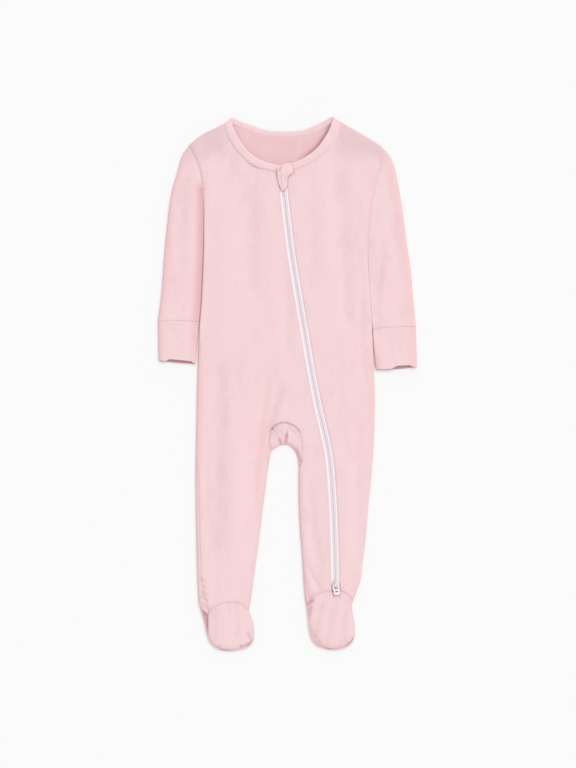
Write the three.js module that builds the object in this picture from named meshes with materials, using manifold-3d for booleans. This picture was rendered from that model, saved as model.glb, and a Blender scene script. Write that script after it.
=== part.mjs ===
// Footed baby sleepsuit with a slanting two-way zip, laid flat on its back.
// Millimetres, +Z up. The garment rests on the plane z = 0 with its neck towards +Y and its
// front facing +Z. The origin is the middle of its outline, at the height of the surface.
import * as THREE from 'three';
import { mergeVertices } from 'three/addons/utils/BufferGeometryUtils.js';
import Module from 'manifold-3d';

// Cloth
const CLOTH = 1.2; // wall of the rib-knit jersey
const FOLDED_CLOTH = 2.4; // two layers, as in the neckband
const GUARD_CLOTH = 2.0; // the small folded cloth over the top of the zip
const SEAM_GAP = 0.35; // space between two pieces where they are sewn
const ARCH_GAP = 0.5; // the same round the tight bend of the gusset
const ANKLE_SEAM_GAP = 0.65; // the same at the curved seams over the feet
const HEEL_SEAM_GAP = 0.7; // the same at the arched seams over the heels

// Heights of the flat garment above the surface
const SIDE_SEAM_HEIGHT = 2.5; // where front and back meet at the edge
const FOOT_SEAM_HEIGHT = 3.4; // where the top of a foot meets its sole
const FRONT_HEIGHT_AT_EDGE = 5.0; // just inside the rounded edge
const FRONT_HEIGHT_RISE = 0.9; // how much higher the middle lies
const FRONT_RISE_LENGTH = 22; // distance over which it rises
const FOOT_FILL = 0.5; // extra height of the feet
const FRONT_ROLL = 6; // how far in the front's rounded edge reaches
const BACK_ROLL = 3; // how far in the back's rounded edge reaches
const FOLD_END = 18; // distance over which a fold fades past its ends

// Zip
const ZIP_OPENING = 5; // from the zip's middle to the edge of the cloth
const TAPE_REACH = 9; // from the zip's middle to the hidden edge of the tape
const TAPE_THICKNESS = 0.9;
const TAPE_DROP = 1.6; // how far the tape lies below the cloth's outer face
const CHAIN_WIDTH = 4.2;
const CHAIN_HEIGHT = 1.9;
const CHAIN_DROP = 0.7; // how far the teeth lie below the cloth's outer face
const CHAIN_TOP_Y = 262;
const CHAIN_END_Y = -257.4;

// Neckband
const BAND_STATIONS = 40;
const BAND_GAP = 1.0; // space to the panels, whose edge is cut with few corners

// Slider and pull tab
const SLIDER = { x: 62.4, y: -261.5, length: 9.4, width: 7.6, tail: 5.2 };
const SLIDER_PLATE = { lowBottom: 1.7, lowTop: 2.5, highBottom: 5.7, highTop: 6.9 };
const SLIDER_POST = { width: 1.8, length: 2, sink: 0.2, fromEnd: 1.3 };
const CROWN = { length: 7.2, width: 2.0, bar: 1.1, bridge: 0.9, top: 10.2, sink: 0.4 };
const TAB = { length: 13, width: 7.8, thickness: 1.2, height: 8.1, tilt: 9 };
const TAB_EYE = { start: 0.65, length: 5.0, width: 4.6 };
const TAB_SLOT = { start: 7.6, length: 2.2, width: 4.0 };

// Sections of the torso and legs, from the underarm down to the ankles. left and right are the
// visible side edges, zip is the middle of the zip, wrap is how far the back panel comes round
// onto the front at the left side.
const SECTIONS = [
  { y: 290, left: -109.5, zip: -7.0, right: 120.0, wrap: 0 },
  { y: 252, left: -109.5, zip: -4.8, right: 112.6, wrap: 0 },
  { y: 236, left: -108.8, zip: -3.1, right: 109.0, wrap: 0 },
  { y: 196, left: -108.8, zip: 1.6, right: 105.2, wrap: 0 },
  { y: 170, left: -109.3, zip: 5.0, right: 104.3, wrap: 0 },
  { y: 110, left: -111.8, zip: 14.9, right: 107.7, wrap: 0 },
  { y: 76, left: -114.4, zip: 20.7, right: 109.9, wrap: 0 },
  { y: 20, left: -116.5, zip: 30.4, right: 112.3, wrap: 0 },
  { y: -25, left: -117.9, zip: 39.0, right: 113.7, wrap: 0 },
  { y: -75, left: -119.0, zip: 50.4, right: 112.4, wrap: 0 },
  { y: -92, left: -119.5, zip: 53.8, right: 111.4, wrap: 0 },
  { y: -120, left: -120.2, zip: 56.8, right: 109.3, wrap: 4.2 },
  { y: -160, left: -119.8, zip: 59.4, right: 105.2, wrap: 7.0 },
  { y: -200, left: -119.0, zip: 60.9, right: 101.8, wrap: 8.0 },
  { y: -232, left: -118.3, zip: 61.8, right: 98.0, wrap: 8.8 },
  { y: -256, left: -117.6, zip: 62.3, right: 95.0, wrap: 9.4 },
  { y: -268, left: -117.0, zip: 62.4, right: 91.0, wrap: 9.6 },
  { y: -284, left: -115.6, zip: 62.5, right: 84.4, wrap: 9.8 },
];

// Inner edges of the two legs, from the crotch down to the ankles
const INNER_LEGS = [
  { y: -88, left: -21.5, right: 15.2 },
  { y: -110, left: -25.4, right: 15.0 },
  { y: -130, left: -28.0, right: 15.0 },
  { y: -150, left: -30.4, right: 15.1 },
  { y: -185, left: -34.8, right: 16.5 },
  { y: -215, left: -38.6, right: 18.8 },
  { y: -245, left: -42.8, right: 20.8 },
  { y: -270, left: -46.2, right: 22.4 },
  { y: -296, left: -50.0, right: 25.6 },
];

// The arched seam of the crotch gusset, from its apex down to the feet of the arch
const ARCH = [
  { y: -51.4, left: -5.9, right: -5.9 },
  { y: -52.6, left: -11.0, right: 2.0 },
  { y: -54.2, left: -15.0, right: 6.0 },
  { y: -57.9, left: -19.4, right: 11.6 },
  { y: -63.0, left: -21.8, right: 15.2 },
  { y: -70.0, left: -23.4, right: 17.4 },
  { y: -78.0, left: -24.1, right: 18.2 },
  { y: -87.6, left: -22.1, right: 18.6 },
  { y: -97.0, left: -22.9, right: 18.4 },
  { y: -106.0, left: -24.4, right: 17.4 },
];

// Lower edge of the gusset, the top of the space between the legs
const CROTCH_EDGE = [
  [-21.9, -88.2], [-15.5, -83.4], [-9, -79.6], [-3.5, -79.0], [2, -79.6], [9.1, -86.0],
  [13.4, -95.0], [15.0, -106.6],
];

// Top outline from the neck over the shoulder and down the outer edge of each sleeve
const LEFT_SHOULDER = [[-81.4, 338.2], [-104.7, 327], [-116.5, 319.6], [-127.6, 310.2]];
const RIGHT_SHOULDER = [[67.6, 341.4], [91.7, 327.4], [108, 318], [120.6, 309.6]];
const LEFT_SLEEVE_OUTER = [
  [-127.6, 310.2], [-136.6, 296.4], [-141.2, 281], [-146.3, 264.6], [-151.5, 243.8],
  [-156.0, 208], [-160.4, 162], [-163.4, 119], [-168.4, 80.2],
];
const LEFT_SLEEVE_INNER = [
  [-109.5, 252], [-110.6, 236], [-111.6, 190], [-113.2, 140], [-115.0, 104], [-115.6, 80.2],
];
const RIGHT_SLEEVE_OUTER = [
  [120.6, 309.6], [133.0, 296.2], [140.0, 279], [145.2, 254], [150.2, 223], [154.8, 186],
  [160.2, 150], [163.6, 112], [167.2, 74.0],
];
const RIGHT_SLEEVE_INNER = [[104.3, 170], [106.4, 150], [110.0, 110], [112.4, 84], [111.9, 71.2]];
const LEFT_ARMHOLE = [[-109.5, 252], [-111.4, 266], [-115.0, 282], [-121.2, 296.5], [-127.6, 310.2]];
const RIGHT_ARMHOLE = [[112.6, 252], [116.6, 268], [120.4, 284], [122.0, 298], [120.6, 309.6]];

// Cuffs: ends of the seam to the sleeve and of the hem
const CUFFS = {
  left: { seam: [[-168.4, 79.8], [-115.6, 79.8]], hem: [[-167.2, 30], [-120.0, 25.6]] },
  right: { seam: [[111.9, 70.8], [167.2, 73.6]], hem: [[115.6, 18], [168.4, 21.6]] },
};

// The neckband, a row for each section: its sewn edge, its free edge and the height of its middle.
// It starts right of the zip, goes round the back of the neck and ends left of the zip.
const NECKBAND = [
  { seamX: -1.6, seamY: 274.4, edgeX: -1.8, edgeY: 283.8, z: 6.2 },
  { seamX: 9.8, seamY: 277.2, edgeX: 6.3, edgeY: 286.6, z: 6.2 },
  { seamX: 27.6, seamY: 284.6, edgeX: 21.5, edgeY: 293.4, z: 6.2 },
  { seamX: 45.5, seamY: 296.6, edgeX: 37.0, edgeY: 304.4, z: 6.2 },
  { seamX: 60.3, seamY: 313.0, edgeX: 50.0, edgeY: 321.6, z: 6.0 },
  { seamX: 67.0, seamY: 330.0, edgeX: 56.8, edgeY: 336.0, z: 5.6 },
  { seamX: 67.4, seamY: 340.8, edgeX: 60.0, edgeY: 346.2, z: 4.0 },
  { seamX: 55.0, seamY: 340.0, edgeX: 50.5, edgeY: 345.4, z: 1.9 },
  { seamX: 37.5, seamY: 328.0, edgeX: 34.5, edgeY: 335.2, z: 1.6 },
  { seamX: 20.0, seamY: 323.0, edgeX: 18.9, edgeY: 329.8, z: 1.6 },
  { seamX: -4.6, seamY: 321.4, edgeX: -4.6, edgeY: 328.3, z: 1.6 },
  { seamX: -29.5, seamY: 322.8, edgeX: -28.0, edgeY: 329.8, z: 1.6 },
  { seamX: -46.0, seamY: 327.5, edgeX: -43.6, edgeY: 335.0, z: 1.6 },
  { seamX: -64.0, seamY: 336.6, edgeX: -60.2, edgeY: 342.0, z: 1.9 },
  { seamX: -80.6, seamY: 338.6, edgeX: -72.4, edgeY: 345.2, z: 4.0 },
  { seamX: -80.2, seamY: 327.0, edgeX: -70.4, edgeY: 332.0, z: 5.6 },
  { seamX: -71.5, seamY: 310.5, edgeX: -62.5, edgeY: 316.5, z: 6.0 },
  { seamX: -59.5, seamY: 294.7, edgeX: -52.0, edgeY: 302.4, z: 6.2 },
  { seamX: -41.5, seamY: 281.9, edgeX: -36.3, edgeY: 291.4, z: 6.2 },
  { seamX: -20.5, seamY: 275.8, edgeX: -18.3, edgeY: 285.0, z: 6.2 },
  { seamX: -10.6, seamY: 274.4, edgeX: -10.4, edgeY: 283.8, z: 6.2 },
];
const BAND_TURN_RIGHT = 6; // the row where the band turns over at the right of the neck
const BAND_TURN_LEFT = 14; // and at the left

// Feet: outline of the sole from the ankle round the toe, left to right, and how the top sits in it
const LEFT_FOOT = {
  outline: [
    [-115.6, -284], [-112.4, -296], [-109.6, -308], [-106.8, -320], [-103.6, -332], [-97.6, -341.2],
    [-88, -346], [-75, -347.8], [-61, -346.2], [-50.4, -342.6], [-44.6, -335.6], [-43.2, -324],
    [-45.6, -308], [-50.2, -296], [-48.3, -284],
  ],
  top: [
    [-103.6, -296], [-103.4, -308], [-103.2, -320], [-101.8, -332], [-95.6, -340], [-86.6, -344.4],
    [-75, -346.6], [-61.6, -344.8], [-52, -341.0], [-46.4, -334.2], [-44.6, -324], [-46.6, -309],
    [-51.2, -295],
  ],
  seam: [
    [-103.4, -295.6], [-97, -292.4], [-90.7, -288.6], [-81.6, -285.4], [-72.7, -284.6],
    [-62, -286], [-51, -294.6],
  ],
  heelRise: 34, // how high the arched seam over the heel reaches above the ankle
  toe: { from: 0.36, to: 0.67 }, // the stretch of the outline round the toe, as shares of it
};
const RIGHT_FOOT = {
  outline: [
    [24.0, -284], [26.0, -298], [27.5, -311], [29, -323], [31.8, -332.4], [37, -339.6],
    [47, -344.2], [60.5, -346.2], [72, -344.8], [80.4, -341.0], [86.2, -334], [87.8, -322],
    [86.6, -308], [84.0, -294], [84.4, -284],
  ],
  top: [
    [26.4, -288.6], [27.8, -302], [29.0, -314], [30.8, -325], [34.6, -334], [41, -340],
    [50, -343.4], [60.5, -344.6], [70.6, -343.4], [78, -339.6], [84, -333], [86.2, -322],
    [85, -308], [82.8, -294], [84.2, -283.4],
  ],
  seam: [
    [26.0, -288], [32.5, -280], [39.5, -274.4], [48, -271.2], [60, -270.4], [71.8, -270.8],
    [78, -275], [84.3, -282.8],
  ],
  heelRise: 30,
  toe: { from: 0.36, to: 0.67 },
};

// Outline of the folded guard over the top of the zip: left and right edges from the top down
const GUARD_LEFT = [[-14.0, 281], [-14.2, 272], [-12.4, 262], [-7.4, 249.6]];
const GUARD_RIGHT = [[6.8, 287.6], [8.4, 275], [0.2, 265.4], [0.4, 258.6], [-4.2, 250.0]];
const GUARD_TOP = [[-14.0, 281], [-8.2, 285.6], [6.8, 287.6]];

// Soft folds of the cloth, each along a line: positive depth is a trough, negative a ridge
const FOLDS = [
  { x1: -44.9, y1: 280, x2: -45.5, y2: 130, width: 10, depth: 0.9 },
  { x1: -0.6, y1: 132, x2: 2, y2: 55, width: 7, depth: 0.7 },
  { x1: -87.8, y1: 8, x2: -88, y2: -196, width: 11, depth: 1.1 },
  { x1: -62, y1: -40, x2: -70, y2: -230, width: 12, depth: -0.6 },
  { x1: -27.3, y1: -8, x2: -34.5, y2: -71, width: 7, depth: 0.7 },
  { x1: -34.5, y1: -71, x2: -40.5, y2: -122, width: 7, depth: 0.6 },
  { x1: 68, y1: 266, x2: 80, y2: 95, width: 10, depth: 0.9 },
  { x1: 50, y1: 240, x2: 58, y2: 60, width: 12, depth: -0.5 },
  { x1: 97.6, y1: 95, x2: 99.5, y2: 20, width: 6, depth: 0.6 },
  { x1: 28, y1: -146, x2: 42, y2: -250, width: 7, depth: 0.8 },
  { x1: 82, y1: -120, x2: 76, y2: -240, width: 9, depth: -0.5 },
  { x1: 122.9, y1: 164, x2: 116.4, y2: 124, width: 6, depth: 0.9 },
  { x1: 116.4, y1: 124, x2: 112.6, y2: 70, width: 6, depth: 0.7 },
  { x1: -138, y1: 250, x2: -141, y2: 110, width: 11, depth: 0.7 },
  { x1: -80, y1: 200, x2: -84, y2: 60, width: 12, depth: -0.5 },
];

// Insets of the columns that follow a rounded edge
const FRONT_INSETS = [0, 0.8, 3, 6];
const BACK_INSETS = [0, 0.9, 3];
const EDGE_SHARES = [0, 0.014, 0.05, 0.1]; // the same on a sleeve, as shares of its width

// Rows of the panels, from the ankle up to the underarm
const LEG_ROWS = [-256, -232, -204, -176, -148, -124, -106];
const CROTCH_ROWS = [-97, -87.6, -78, -68, -60.5, -56, -53, -51.4];
const TORSO_ROWS = [-34, -6, 24, 54, 84, 114, 144];
const LOW_ARMHOLE_ROWS = [170, 171, 175, 198, 225, 252];
const HIGH_ARMHOLE_SHARES = [0, 0.015, 0.07, 0.3, 0.55, 0.8, 0.93, 0.985, 1];

const PINK = '#f5d4d6';
const PINK_BAND = '#f7d6d9';
const WHITE_TAPE = '#faeff4';
const GREY_COIL = '#e4dde3';
const WHITE_ENAMEL = '#f6eef4';

/** Value of one column of a table between its rows, on a smooth curve through them. */
function column(table, key) {
  const rows = [...table].sort((a, b) => a.y - b.y);
  const slope = (i) => {
    const low = rows[Math.max(i - 1, 0)];
    const high = rows[Math.min(i + 1, rows.length - 1)];
    return (high[key] - low[key]) / (high.y - low.y);
  };
  return (y) => {
    let i = 0;
    while (i < rows.length - 2 && y > rows[i + 1].y) i += 1;
    const a = rows[i];
    const b = rows[i + 1];
    const step = b.y - a.y;
    const t = (y - a.y) / step;
    const t2 = t * t;
    const t3 = t2 * t;
    return (2 * t3 - 3 * t2 + 1) * a[key] + (t3 - 2 * t2 + t) * step * slope(i)
      + (3 * t2 - 2 * t3) * b[key] + (t3 - t2) * step * slope(i + 1);
  };
}

const leftSide = column(SECTIONS, 'left');
const rightSide = column(SECTIONS, 'right');
const zipLine = column(SECTIONS, 'zip');
const wrapWidth = (y) => Math.max(column(SECTIONS, 'wrap')(y), 0);
const innerLeft = column(INNER_LEGS, 'left');
const innerRight = column(INNER_LEGS, 'right');

/** Smooth curve through a few points in space. */
function curveThrough(points) {
  return new THREE.CatmullRomCurve3(points, false, 'centripetal');
}

/** Points of a flat curve at given shares of its length. */
function sample(points, shares) {
  const curve = curveThrough(points.map(([x, y]) => new THREE.Vector3(x, y, 0)));
  curve.arcLengthDivisions = 400;
  return shares.map((share) => {
    const p = curve.getPointAt(share);
    return new THREE.Vector2(p.x, p.y);
  });
}

/** Evenly spaced shares from 0 to 1. */
function even(count) {
  return Array.from({ length: count + 1 }, (_, i) => i / count);
}

/** Shares that are close together at both ends, where an edge is rounded, with a few between. */
function sharesWithEdges(count) {
  const low = EDGE_SHARES;
  const high = EDGE_SHARES.map((share) => 1 - share).reverse();
  const span = high[0] - low[low.length - 1];
  const middle = even(count).slice(1, -1).map((share) => low[low.length - 1] + share * span);
  return [...low, ...middle, ...high];
}

/** Points moved sideways from a line; positive moves them to the right of its direction. */
function offset(points, distance) {
  return points.map((p, i) => {
    const before = points[Math.max(i - 1, 0)];
    const after = points[Math.min(i + 1, points.length - 1)];
    const along = after.clone().sub(before).normalize();
    return new THREE.Vector2(p.x + along.y * distance, p.y - along.x * distance);
  });
}

/** How far along a line each point lies, as a share of the whole. */
function shareAlong(points) {
  const lengths = [0];
  for (let i = 1; i < points.length; i += 1) {
    lengths.push(lengths[i - 1] + points[i].distanceTo(points[i - 1]));
  }
  return lengths.map((length) => length / lengths[lengths.length - 1]);
}

/** Rows of points that fill the space between four edges, from the bottom edge to the top one. */
function fill(bottom, top, left, right) {
  const mean = (a, b) => a.map((value, i) => (value + b[i]) / 2);
  const across = mean(shareAlong(bottom), shareAlong(top));
  const up = mean(shareAlong(left), shareAlong(right));
  return up.map((v, j) => across.map((u, i) => {
    const mix = (key) => (1 - v) * bottom[i][key] + v * top[i][key]
      + (1 - u) * left[j][key] + u * right[j][key]
      - (1 - u) * (1 - v) * bottom[0][key] - u * (1 - v) * bottom[bottom.length - 1][key]
      - (1 - u) * v * top[0][key] - u * v * top[top.length - 1][key];
    return new THREE.Vector2(mix('x'), mix('y'));
  }));
}

/** One straight row of a panel: columns follow rounded edges at its ends and are even between. */
function row(y, from, to, { leftInsets, middle, rightInsets }) {
  const start = from + leftInsets[leftInsets.length - 1];
  const end = to - rightInsets[rightInsets.length - 1];
  const xs = [
    ...leftInsets.map((inset) => from + inset),
    ...even(middle).slice(1, -1).map((share) => start + share * (end - start)),
    ...[...rightInsets].reverse().map((inset) => to - inset),
  ];
  return xs.map((x) => new THREE.Vector2(x, y));
}

// Rounded outlines, each with the cloth on its left-hand side
const steps = (from, to, size) => {
  const count = Math.max(Math.round(Math.abs(to - from) / size), 1);
  return even(count).map((share) => from + share * (to - from));
};
const alongY = (edge, from, to) => steps(from, to, 3).map((y) => new THREE.Vector2(edge(y), y));
const dense = (points) => sample(points, even(60));

const UNDERARM_LEFT_Y = 252;
const UNDERARM_RIGHT_Y = 170;
const ANKLE_Y = -284;
const FOOT_OF_ARCH_LEFT_Y = -88.2;
const FOOT_OF_ARCH_RIGHT_Y = -106.6;

const topOutlineLeft = [...dense(LEFT_SHOULDER), ...dense(LEFT_SLEEVE_OUTER).slice(1)];
const topOutlineRight = [
  ...dense([...RIGHT_SLEEVE_OUTER].reverse()),
  ...dense([...RIGHT_SHOULDER].reverse()).slice(1),
];
const BODY_EDGES = [
  topOutlineLeft,
  topOutlineRight,
  alongY(leftSide, UNDERARM_LEFT_Y, ANKLE_Y),
  dense(LEFT_FOOT.outline),
  alongY(innerLeft, ANKLE_Y, FOOT_OF_ARCH_LEFT_Y),
  dense(CROTCH_EDGE),
  alongY(innerRight, FOOT_OF_ARCH_RIGHT_Y, ANKLE_Y),
  dense(RIGHT_FOOT.outline),
  alongY(rightSide, ANKLE_Y, UNDERARM_RIGHT_Y),
];
const LEFT_SLEEVE_EDGES = [topOutlineLeft, dense([...LEFT_SLEEVE_INNER].reverse())];
const RIGHT_SLEEVE_EDGES = [topOutlineRight, dense(RIGHT_SLEEVE_INNER)];

/** Nearest place on some outlines: its distance and the direction that points out of the cloth. */
function nearest(x, y, outlines) {
  let best = { distance: Infinity, out: new THREE.Vector2(1, 0) };
  for (const line of outlines) {
    for (let i = 1; i < line.length; i += 1) {
      const a = line[i - 1];
      const b = line[i];
      const dx = b.x - a.x;
      const dy = b.y - a.y;
      const length2 = dx * dx + dy * dy;
      const t = THREE.MathUtils.clamp(((x - a.x) * dx + (y - a.y) * dy) / length2, 0, 1);
      const toX = a.x + t * dx - x;
      const toY = a.y + t * dy - y;
      const distance = Math.hypot(toX, toY);
      if (distance < best.distance - 1e-9) {
        const out = distance > 0.3
          ? new THREE.Vector2(toX / distance, toY / distance)
          : new THREE.Vector2(dy, -dx).multiplyScalar(1 / Math.sqrt(length2));
        best = { distance: distance < 0.08 ? 0 : distance, out };
      }
    }
  }
  return best;
}

const footShare = (y) => THREE.MathUtils.smoothstep(-y, 284, 312);
const seamHeight = (y) => THREE.MathUtils.lerp(SIDE_SEAM_HEIGHT, FOOT_SEAM_HEIGHT, footShare(y));

/** Depth of the folds at a point: a soft trough or ridge along each row's line. */
function foldDepth(x, y) {
  let depth = 0;
  for (const fold of FOLDS) {
    const dx = fold.x2 - fold.x1;
    const dy = fold.y2 - fold.y1;
    const length = Math.hypot(dx, dy);
    const along = ((x - fold.x1) * dx + (y - fold.y1) * dy) / length;
    const across = ((x - fold.x1) * dy - (y - fold.y1) * dx) / length;
    const past = Math.max(-along, along - length, 0);
    depth += fold.depth * Math.exp(-((across / fold.width) ** 2) - (past / FOLD_END) ** 2);
  }
  return depth;
}

/** Height of the front's outer face well inside its edge. */
function frontHeight(x, y, distance) {
  const rise = FRONT_HEIGHT_RISE * (1 - Math.exp(-distance / FRONT_RISE_LENGTH));
  const calm = THREE.MathUtils.smoothstep(distance, 2, 16) * (1 - footShare(y));
  return FRONT_HEIGHT_AT_EDGE + rise + FOOT_FILL * footShare(y) - foldDepth(x, y) * calm;
}

/** Outer and inner point of a wall whose face looks along a given direction. */
function wallPoint(x, y, z, out, level, up, thickness) {
  const outer = new THREE.Vector3(x, y, z);
  const inwards = new THREE.Vector3(out.x * level, out.y * level, up).multiplyScalar(-thickness);
  return { outer, inner: outer.clone().add(inwards) };
}

/** Ways to raise a flat pattern point to its place in the flat garment. */
function layers(outlines, { split = SEAM_GAP / 2, drop = 0, thickness = CLOTH } = {}) {
  const front = (x, y) => {
    const { distance, out } = nearest(x, y, outlines);
    const level = 1 - Math.min(distance / FRONT_ROLL, 1);
    const up = Math.sqrt(1 - level * level);
    const low = seamHeight(y) + split;
    const z = low + (frontHeight(x, y, distance) - low) * up - drop;
    return wallPoint(x, y, z, out, level, up, thickness);
  };
  const back = (x, y) => {
    const { distance, out } = nearest(x, y, outlines);
    const level = 1 - Math.min(distance / BACK_ROLL, 1);
    const down = Math.sqrt(1 - level * level);
    return wallPoint(x, y, (seamHeight(y) - split) * (1 - down), out, level, -down, thickness);
  };
  const rim = (x, y) => {
    const { out } = nearest(x, y, outlines);
    return wallPoint(x, y, seamHeight(y) - split, out, 1, 0, thickness);
  };
  return { front, back, rim };
}

/** Raises rows of pattern points; the named sides lie on the rounded edge itself. */
function raise(rows, lift, rim = lift, sides = []) {
  return rows.map((points, j) => points.map((p, i) => {
    const onRim = (sides.includes('left') && i === 0)
      || (sides.includes('right') && i === points.length - 1)
      || (sides.includes('bottom') && j === 0);
    return (onRim ? rim : lift)(p.x, p.y);
  }));
}

/** A cloth wall sewn up from raised patches that share their edges. */
class Wall {
  constructor() {
    this.outer = [];
    this.inner = [];
    this.known = new Map();
    this.faces = [];
  }

  vertex({ outer, inner }) {
    const key = outer.toArray().map((value) => Math.round(value * 500)).join(' ');
    if (!this.known.has(key)) {
      this.known.set(key, this.outer.length);
      this.outer.push(outer);
      this.inner.push(inner);
    }
    return this.known.get(key);
  }

  /** Adds one patch; its outer face looks up, or down for a patch of the back. */
  patch(rows, facesDown = false) {
    const ids = rows.map((points) => points.map((point) => this.vertex(point)));
    for (let j = 1; j < ids.length; j += 1) {
      for (let i = 1; i < ids[j].length; i += 1) {
        const a = ids[j - 1][i - 1];
        const b = ids[j - 1][i];
        const c = ids[j][i];
        const d = ids[j][i - 1];
        for (const face of [[a, b, c], [a, c, d]]) {
          if (new Set(face).size === 3) this.faces.push(facesDown ? face.reverse() : face);
        }
      }
    }
    return this;
  }

  /** The closed wall: outer face, inner face and the cut edge between them. */
  geometry() {
    const count = this.outer.length;
    const used = new Set(this.faces.flatMap(([a, b, c]) => [`${a} ${b}`, `${b} ${c}`, `${c} ${a}`]));
    const index = [];
    for (const [a, b, c] of this.faces) {
      index.push(a, b, c, a + count, c + count, b + count);
      for (const [from, to] of [[a, b], [b, c], [c, a]]) {
        if (used.has(`${to} ${from}`)) continue;
        index.push(to, from, from + count, to, from + count, to + count);
      }
    }
    return closedGeometry([...this.outer, ...this.inner], index);
  }
}

/** Geometry from points and triangles. */
function closedGeometry(points, index) {
  const geometry = new THREE.BufferGeometry();
  const numbers = points.flatMap((p) => p.toArray());
  geometry.setAttribute('position', new THREE.Float32BufferAttribute(numbers, 3));
  geometry.setIndex(index);
  geometry.computeVertexNormals();
  return geometry;
}

/** Closed bar through rings of points, with flat ends. */
function bar(rings) {
  const sides = rings[0].length;
  const index = [];
  for (let j = 1; j < rings.length; j += 1) {
    for (let i = 0; i < sides; i += 1) {
      const a = (j - 1) * sides + i;
      const b = (j - 1) * sides + ((i + 1) % sides);
      index.push(a, b, b + sides, a, b + sides, a + sides);
    }
  }
  const last = (rings.length - 1) * sides;
  for (let i = 1; i < sides - 1; i += 1) {
    index.push(0, i + 1, i, last, last + i, last + i + 1);
  }
  return closedGeometry(rings.flat(), index);
}

// Seams shared by neighbouring panels
const NECK_SEAM = NECKBAND.map(({ seamX, seamY }) => [seamX, seamY]);
const neckRight = NECK_SEAM.slice(0, BAND_TURN_RIGHT + 1);
const neckLeft = NECK_SEAM.slice(BAND_TURN_LEFT);
const neckBack = NECK_SEAM.slice(BAND_TURN_RIGHT + 1, BAND_TURN_LEFT).reverse();
const CENTRE_TOP = { x: -20.5, y: 275 }; // where the centre column meets the neck seam
const ZIP_TOP_LEFT_X = -11.4; // where the neck seam meets the zip, on its left
const ZIP_TOP_RIGHT_X = -0.8; // and on its right
const APEX = { x: ARCH[0].left, y: ARCH[0].y };
const centreLine = (y) => (
  THREE.MathUtils.lerp(APEX.x, CENTRE_TOP.x, (y - APEX.y) / (CENTRE_TOP.y - APEX.y)));
const archLeft = (y) => (y >= FOOT_OF_ARCH_LEFT_Y ? column(ARCH, 'left')(y) : innerLeft(y));
const archRight = (y) => (y >= FOOT_OF_ARCH_RIGHT_Y ? column(ARCH, 'right')(y) : innerRight(y));
const innerEdgeLeft = (y) => (y > APEX.y ? centreLine(y) : archLeft(y));
const innerEdgeRight = (y) => (y > APEX.y ? centreLine(y) : archRight(y));
const LEAST_WRAP = 0.2; // a narrower edge of the back isn't seen from the front
const seamedLeft = (y) => leftSide(y) + (wrapWidth(y) > LEAST_WRAP ? wrapWidth(y) + SEAM_GAP : 0);
const leftOfZip = (y) => zipLine(y) - ZIP_OPENING;
const rightOfZip = (y) => zipLine(y) + ZIP_OPENING;

const leftArmhole = sample(LEFT_ARMHOLE, HIGH_ARMHOLE_SHARES);
const rightArmholeHigh = sample(RIGHT_ARMHOLE, HIGH_ARMHOLE_SHARES);
const rightArmholeLow = LOW_ARMHOLE_ROWS.map((y) => new THREE.Vector2(rightSide(y), y));

/** Part of a curve between two values of x, resampled. */
function neckPart(points, fromX, toX, count) {
  const fine = sample(points, even(200));
  const inside = fine.filter((p) => p.x >= Math.min(fromX, toX) && p.x <= Math.max(fromX, toX));
  if (fromX > toX !== inside[0].x > inside[inside.length - 1].x) inside.reverse();
  return sample(inside.map((p) => [p.x, p.y]), even(count));
}

/** Two lines joined into one, the shared point kept once. */
const join = (first, second) => [...first, ...second.slice(1)];

/** The rows of one strip of a panel: ankle, leg, crotch, torso and yoke. */
function stripRows(strip) {
  const { from, to, columns, ankle, yoke, legRows = LEG_ROWS } = strip;
  const rows = [...legRows, ...CROTCH_ROWS, ...TORSO_ROWS, ...LOW_ARMHOLE_ROWS]
    .map((y) => row(y, from(y), to(y), columns));
  const bottom = rows[rows.length - 1];
  const top = rows[0];
  const side = (edge, end, start) => even(ankle.rows).map((share) => {
    const y = THREE.MathUtils.lerp(end.y, start.y, share);
    return new THREE.Vector2(edge(y) + (1 - share) * (end.x - edge(end.y)), y);
  });
  const left = side(from, ankle.line[0], top[0]);
  const right = side(to, ankle.line[ankle.line.length - 1], top[top.length - 1]);
  rows.unshift(...fill(ankle.line, top, left, right).slice(0, -1));
  rows.push(...fill(bottom, yoke.line, yoke.left, yoke.right).slice(1));
  return rows;
}

/** Straight line of points between two corners, at the shares of another line. */
function straightLine(from, to, like) {
  return shareAlong(like).map((share) => new THREE.Vector2(
    THREE.MathUtils.lerp(from.x, to.x, share), THREE.MathUtils.lerp(from.y, to.y, share)));
}

/** Ankle line of a leg: part of the seam over the foot, at the columns of a row. */
function ankleLine(seam, { from, to }, like) {
  const fine = sample(seam, even(200));
  const at = (x) => fine.reduce((best, p) => (Math.abs(p.x - x) < Math.abs(best.x - x) ? p : best)).y;
  return shareAlong(like).map((share) => {
    const x = THREE.MathUtils.lerp(from, to, share);
    return new THREE.Vector2(x, at(x));
  });
}

/** Where a panel's corners lie on the seam over a foot. */
const ends = (seam) => ({ from: seam[0][0] + ANKLE_INSET, to: seam[seam.length - 1][0] - ANKLE_INSET });

const cloth = layers(BODY_EDGES);

// Columns of the panels: those at the rounded edges and the number of even steps between them
const FRONT_COLUMNS = {
  outer: { leftInsets: FRONT_INSETS, middle: 7, rightInsets: FRONT_INSETS },
  inner: { leftInsets: FRONT_INSETS, middle: 3, rightInsets: [0] },
  side: { leftInsets: [0], middle: 8, rightInsets: FRONT_INSETS },
};
const BACK_COLUMNS = {
  left: { leftInsets: BACK_INSETS, middle: 3, rightInsets: BACK_INSETS },
  right: { leftInsets: BACK_INSETS, middle: 4, rightInsets: BACK_INSETS },
};

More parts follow.
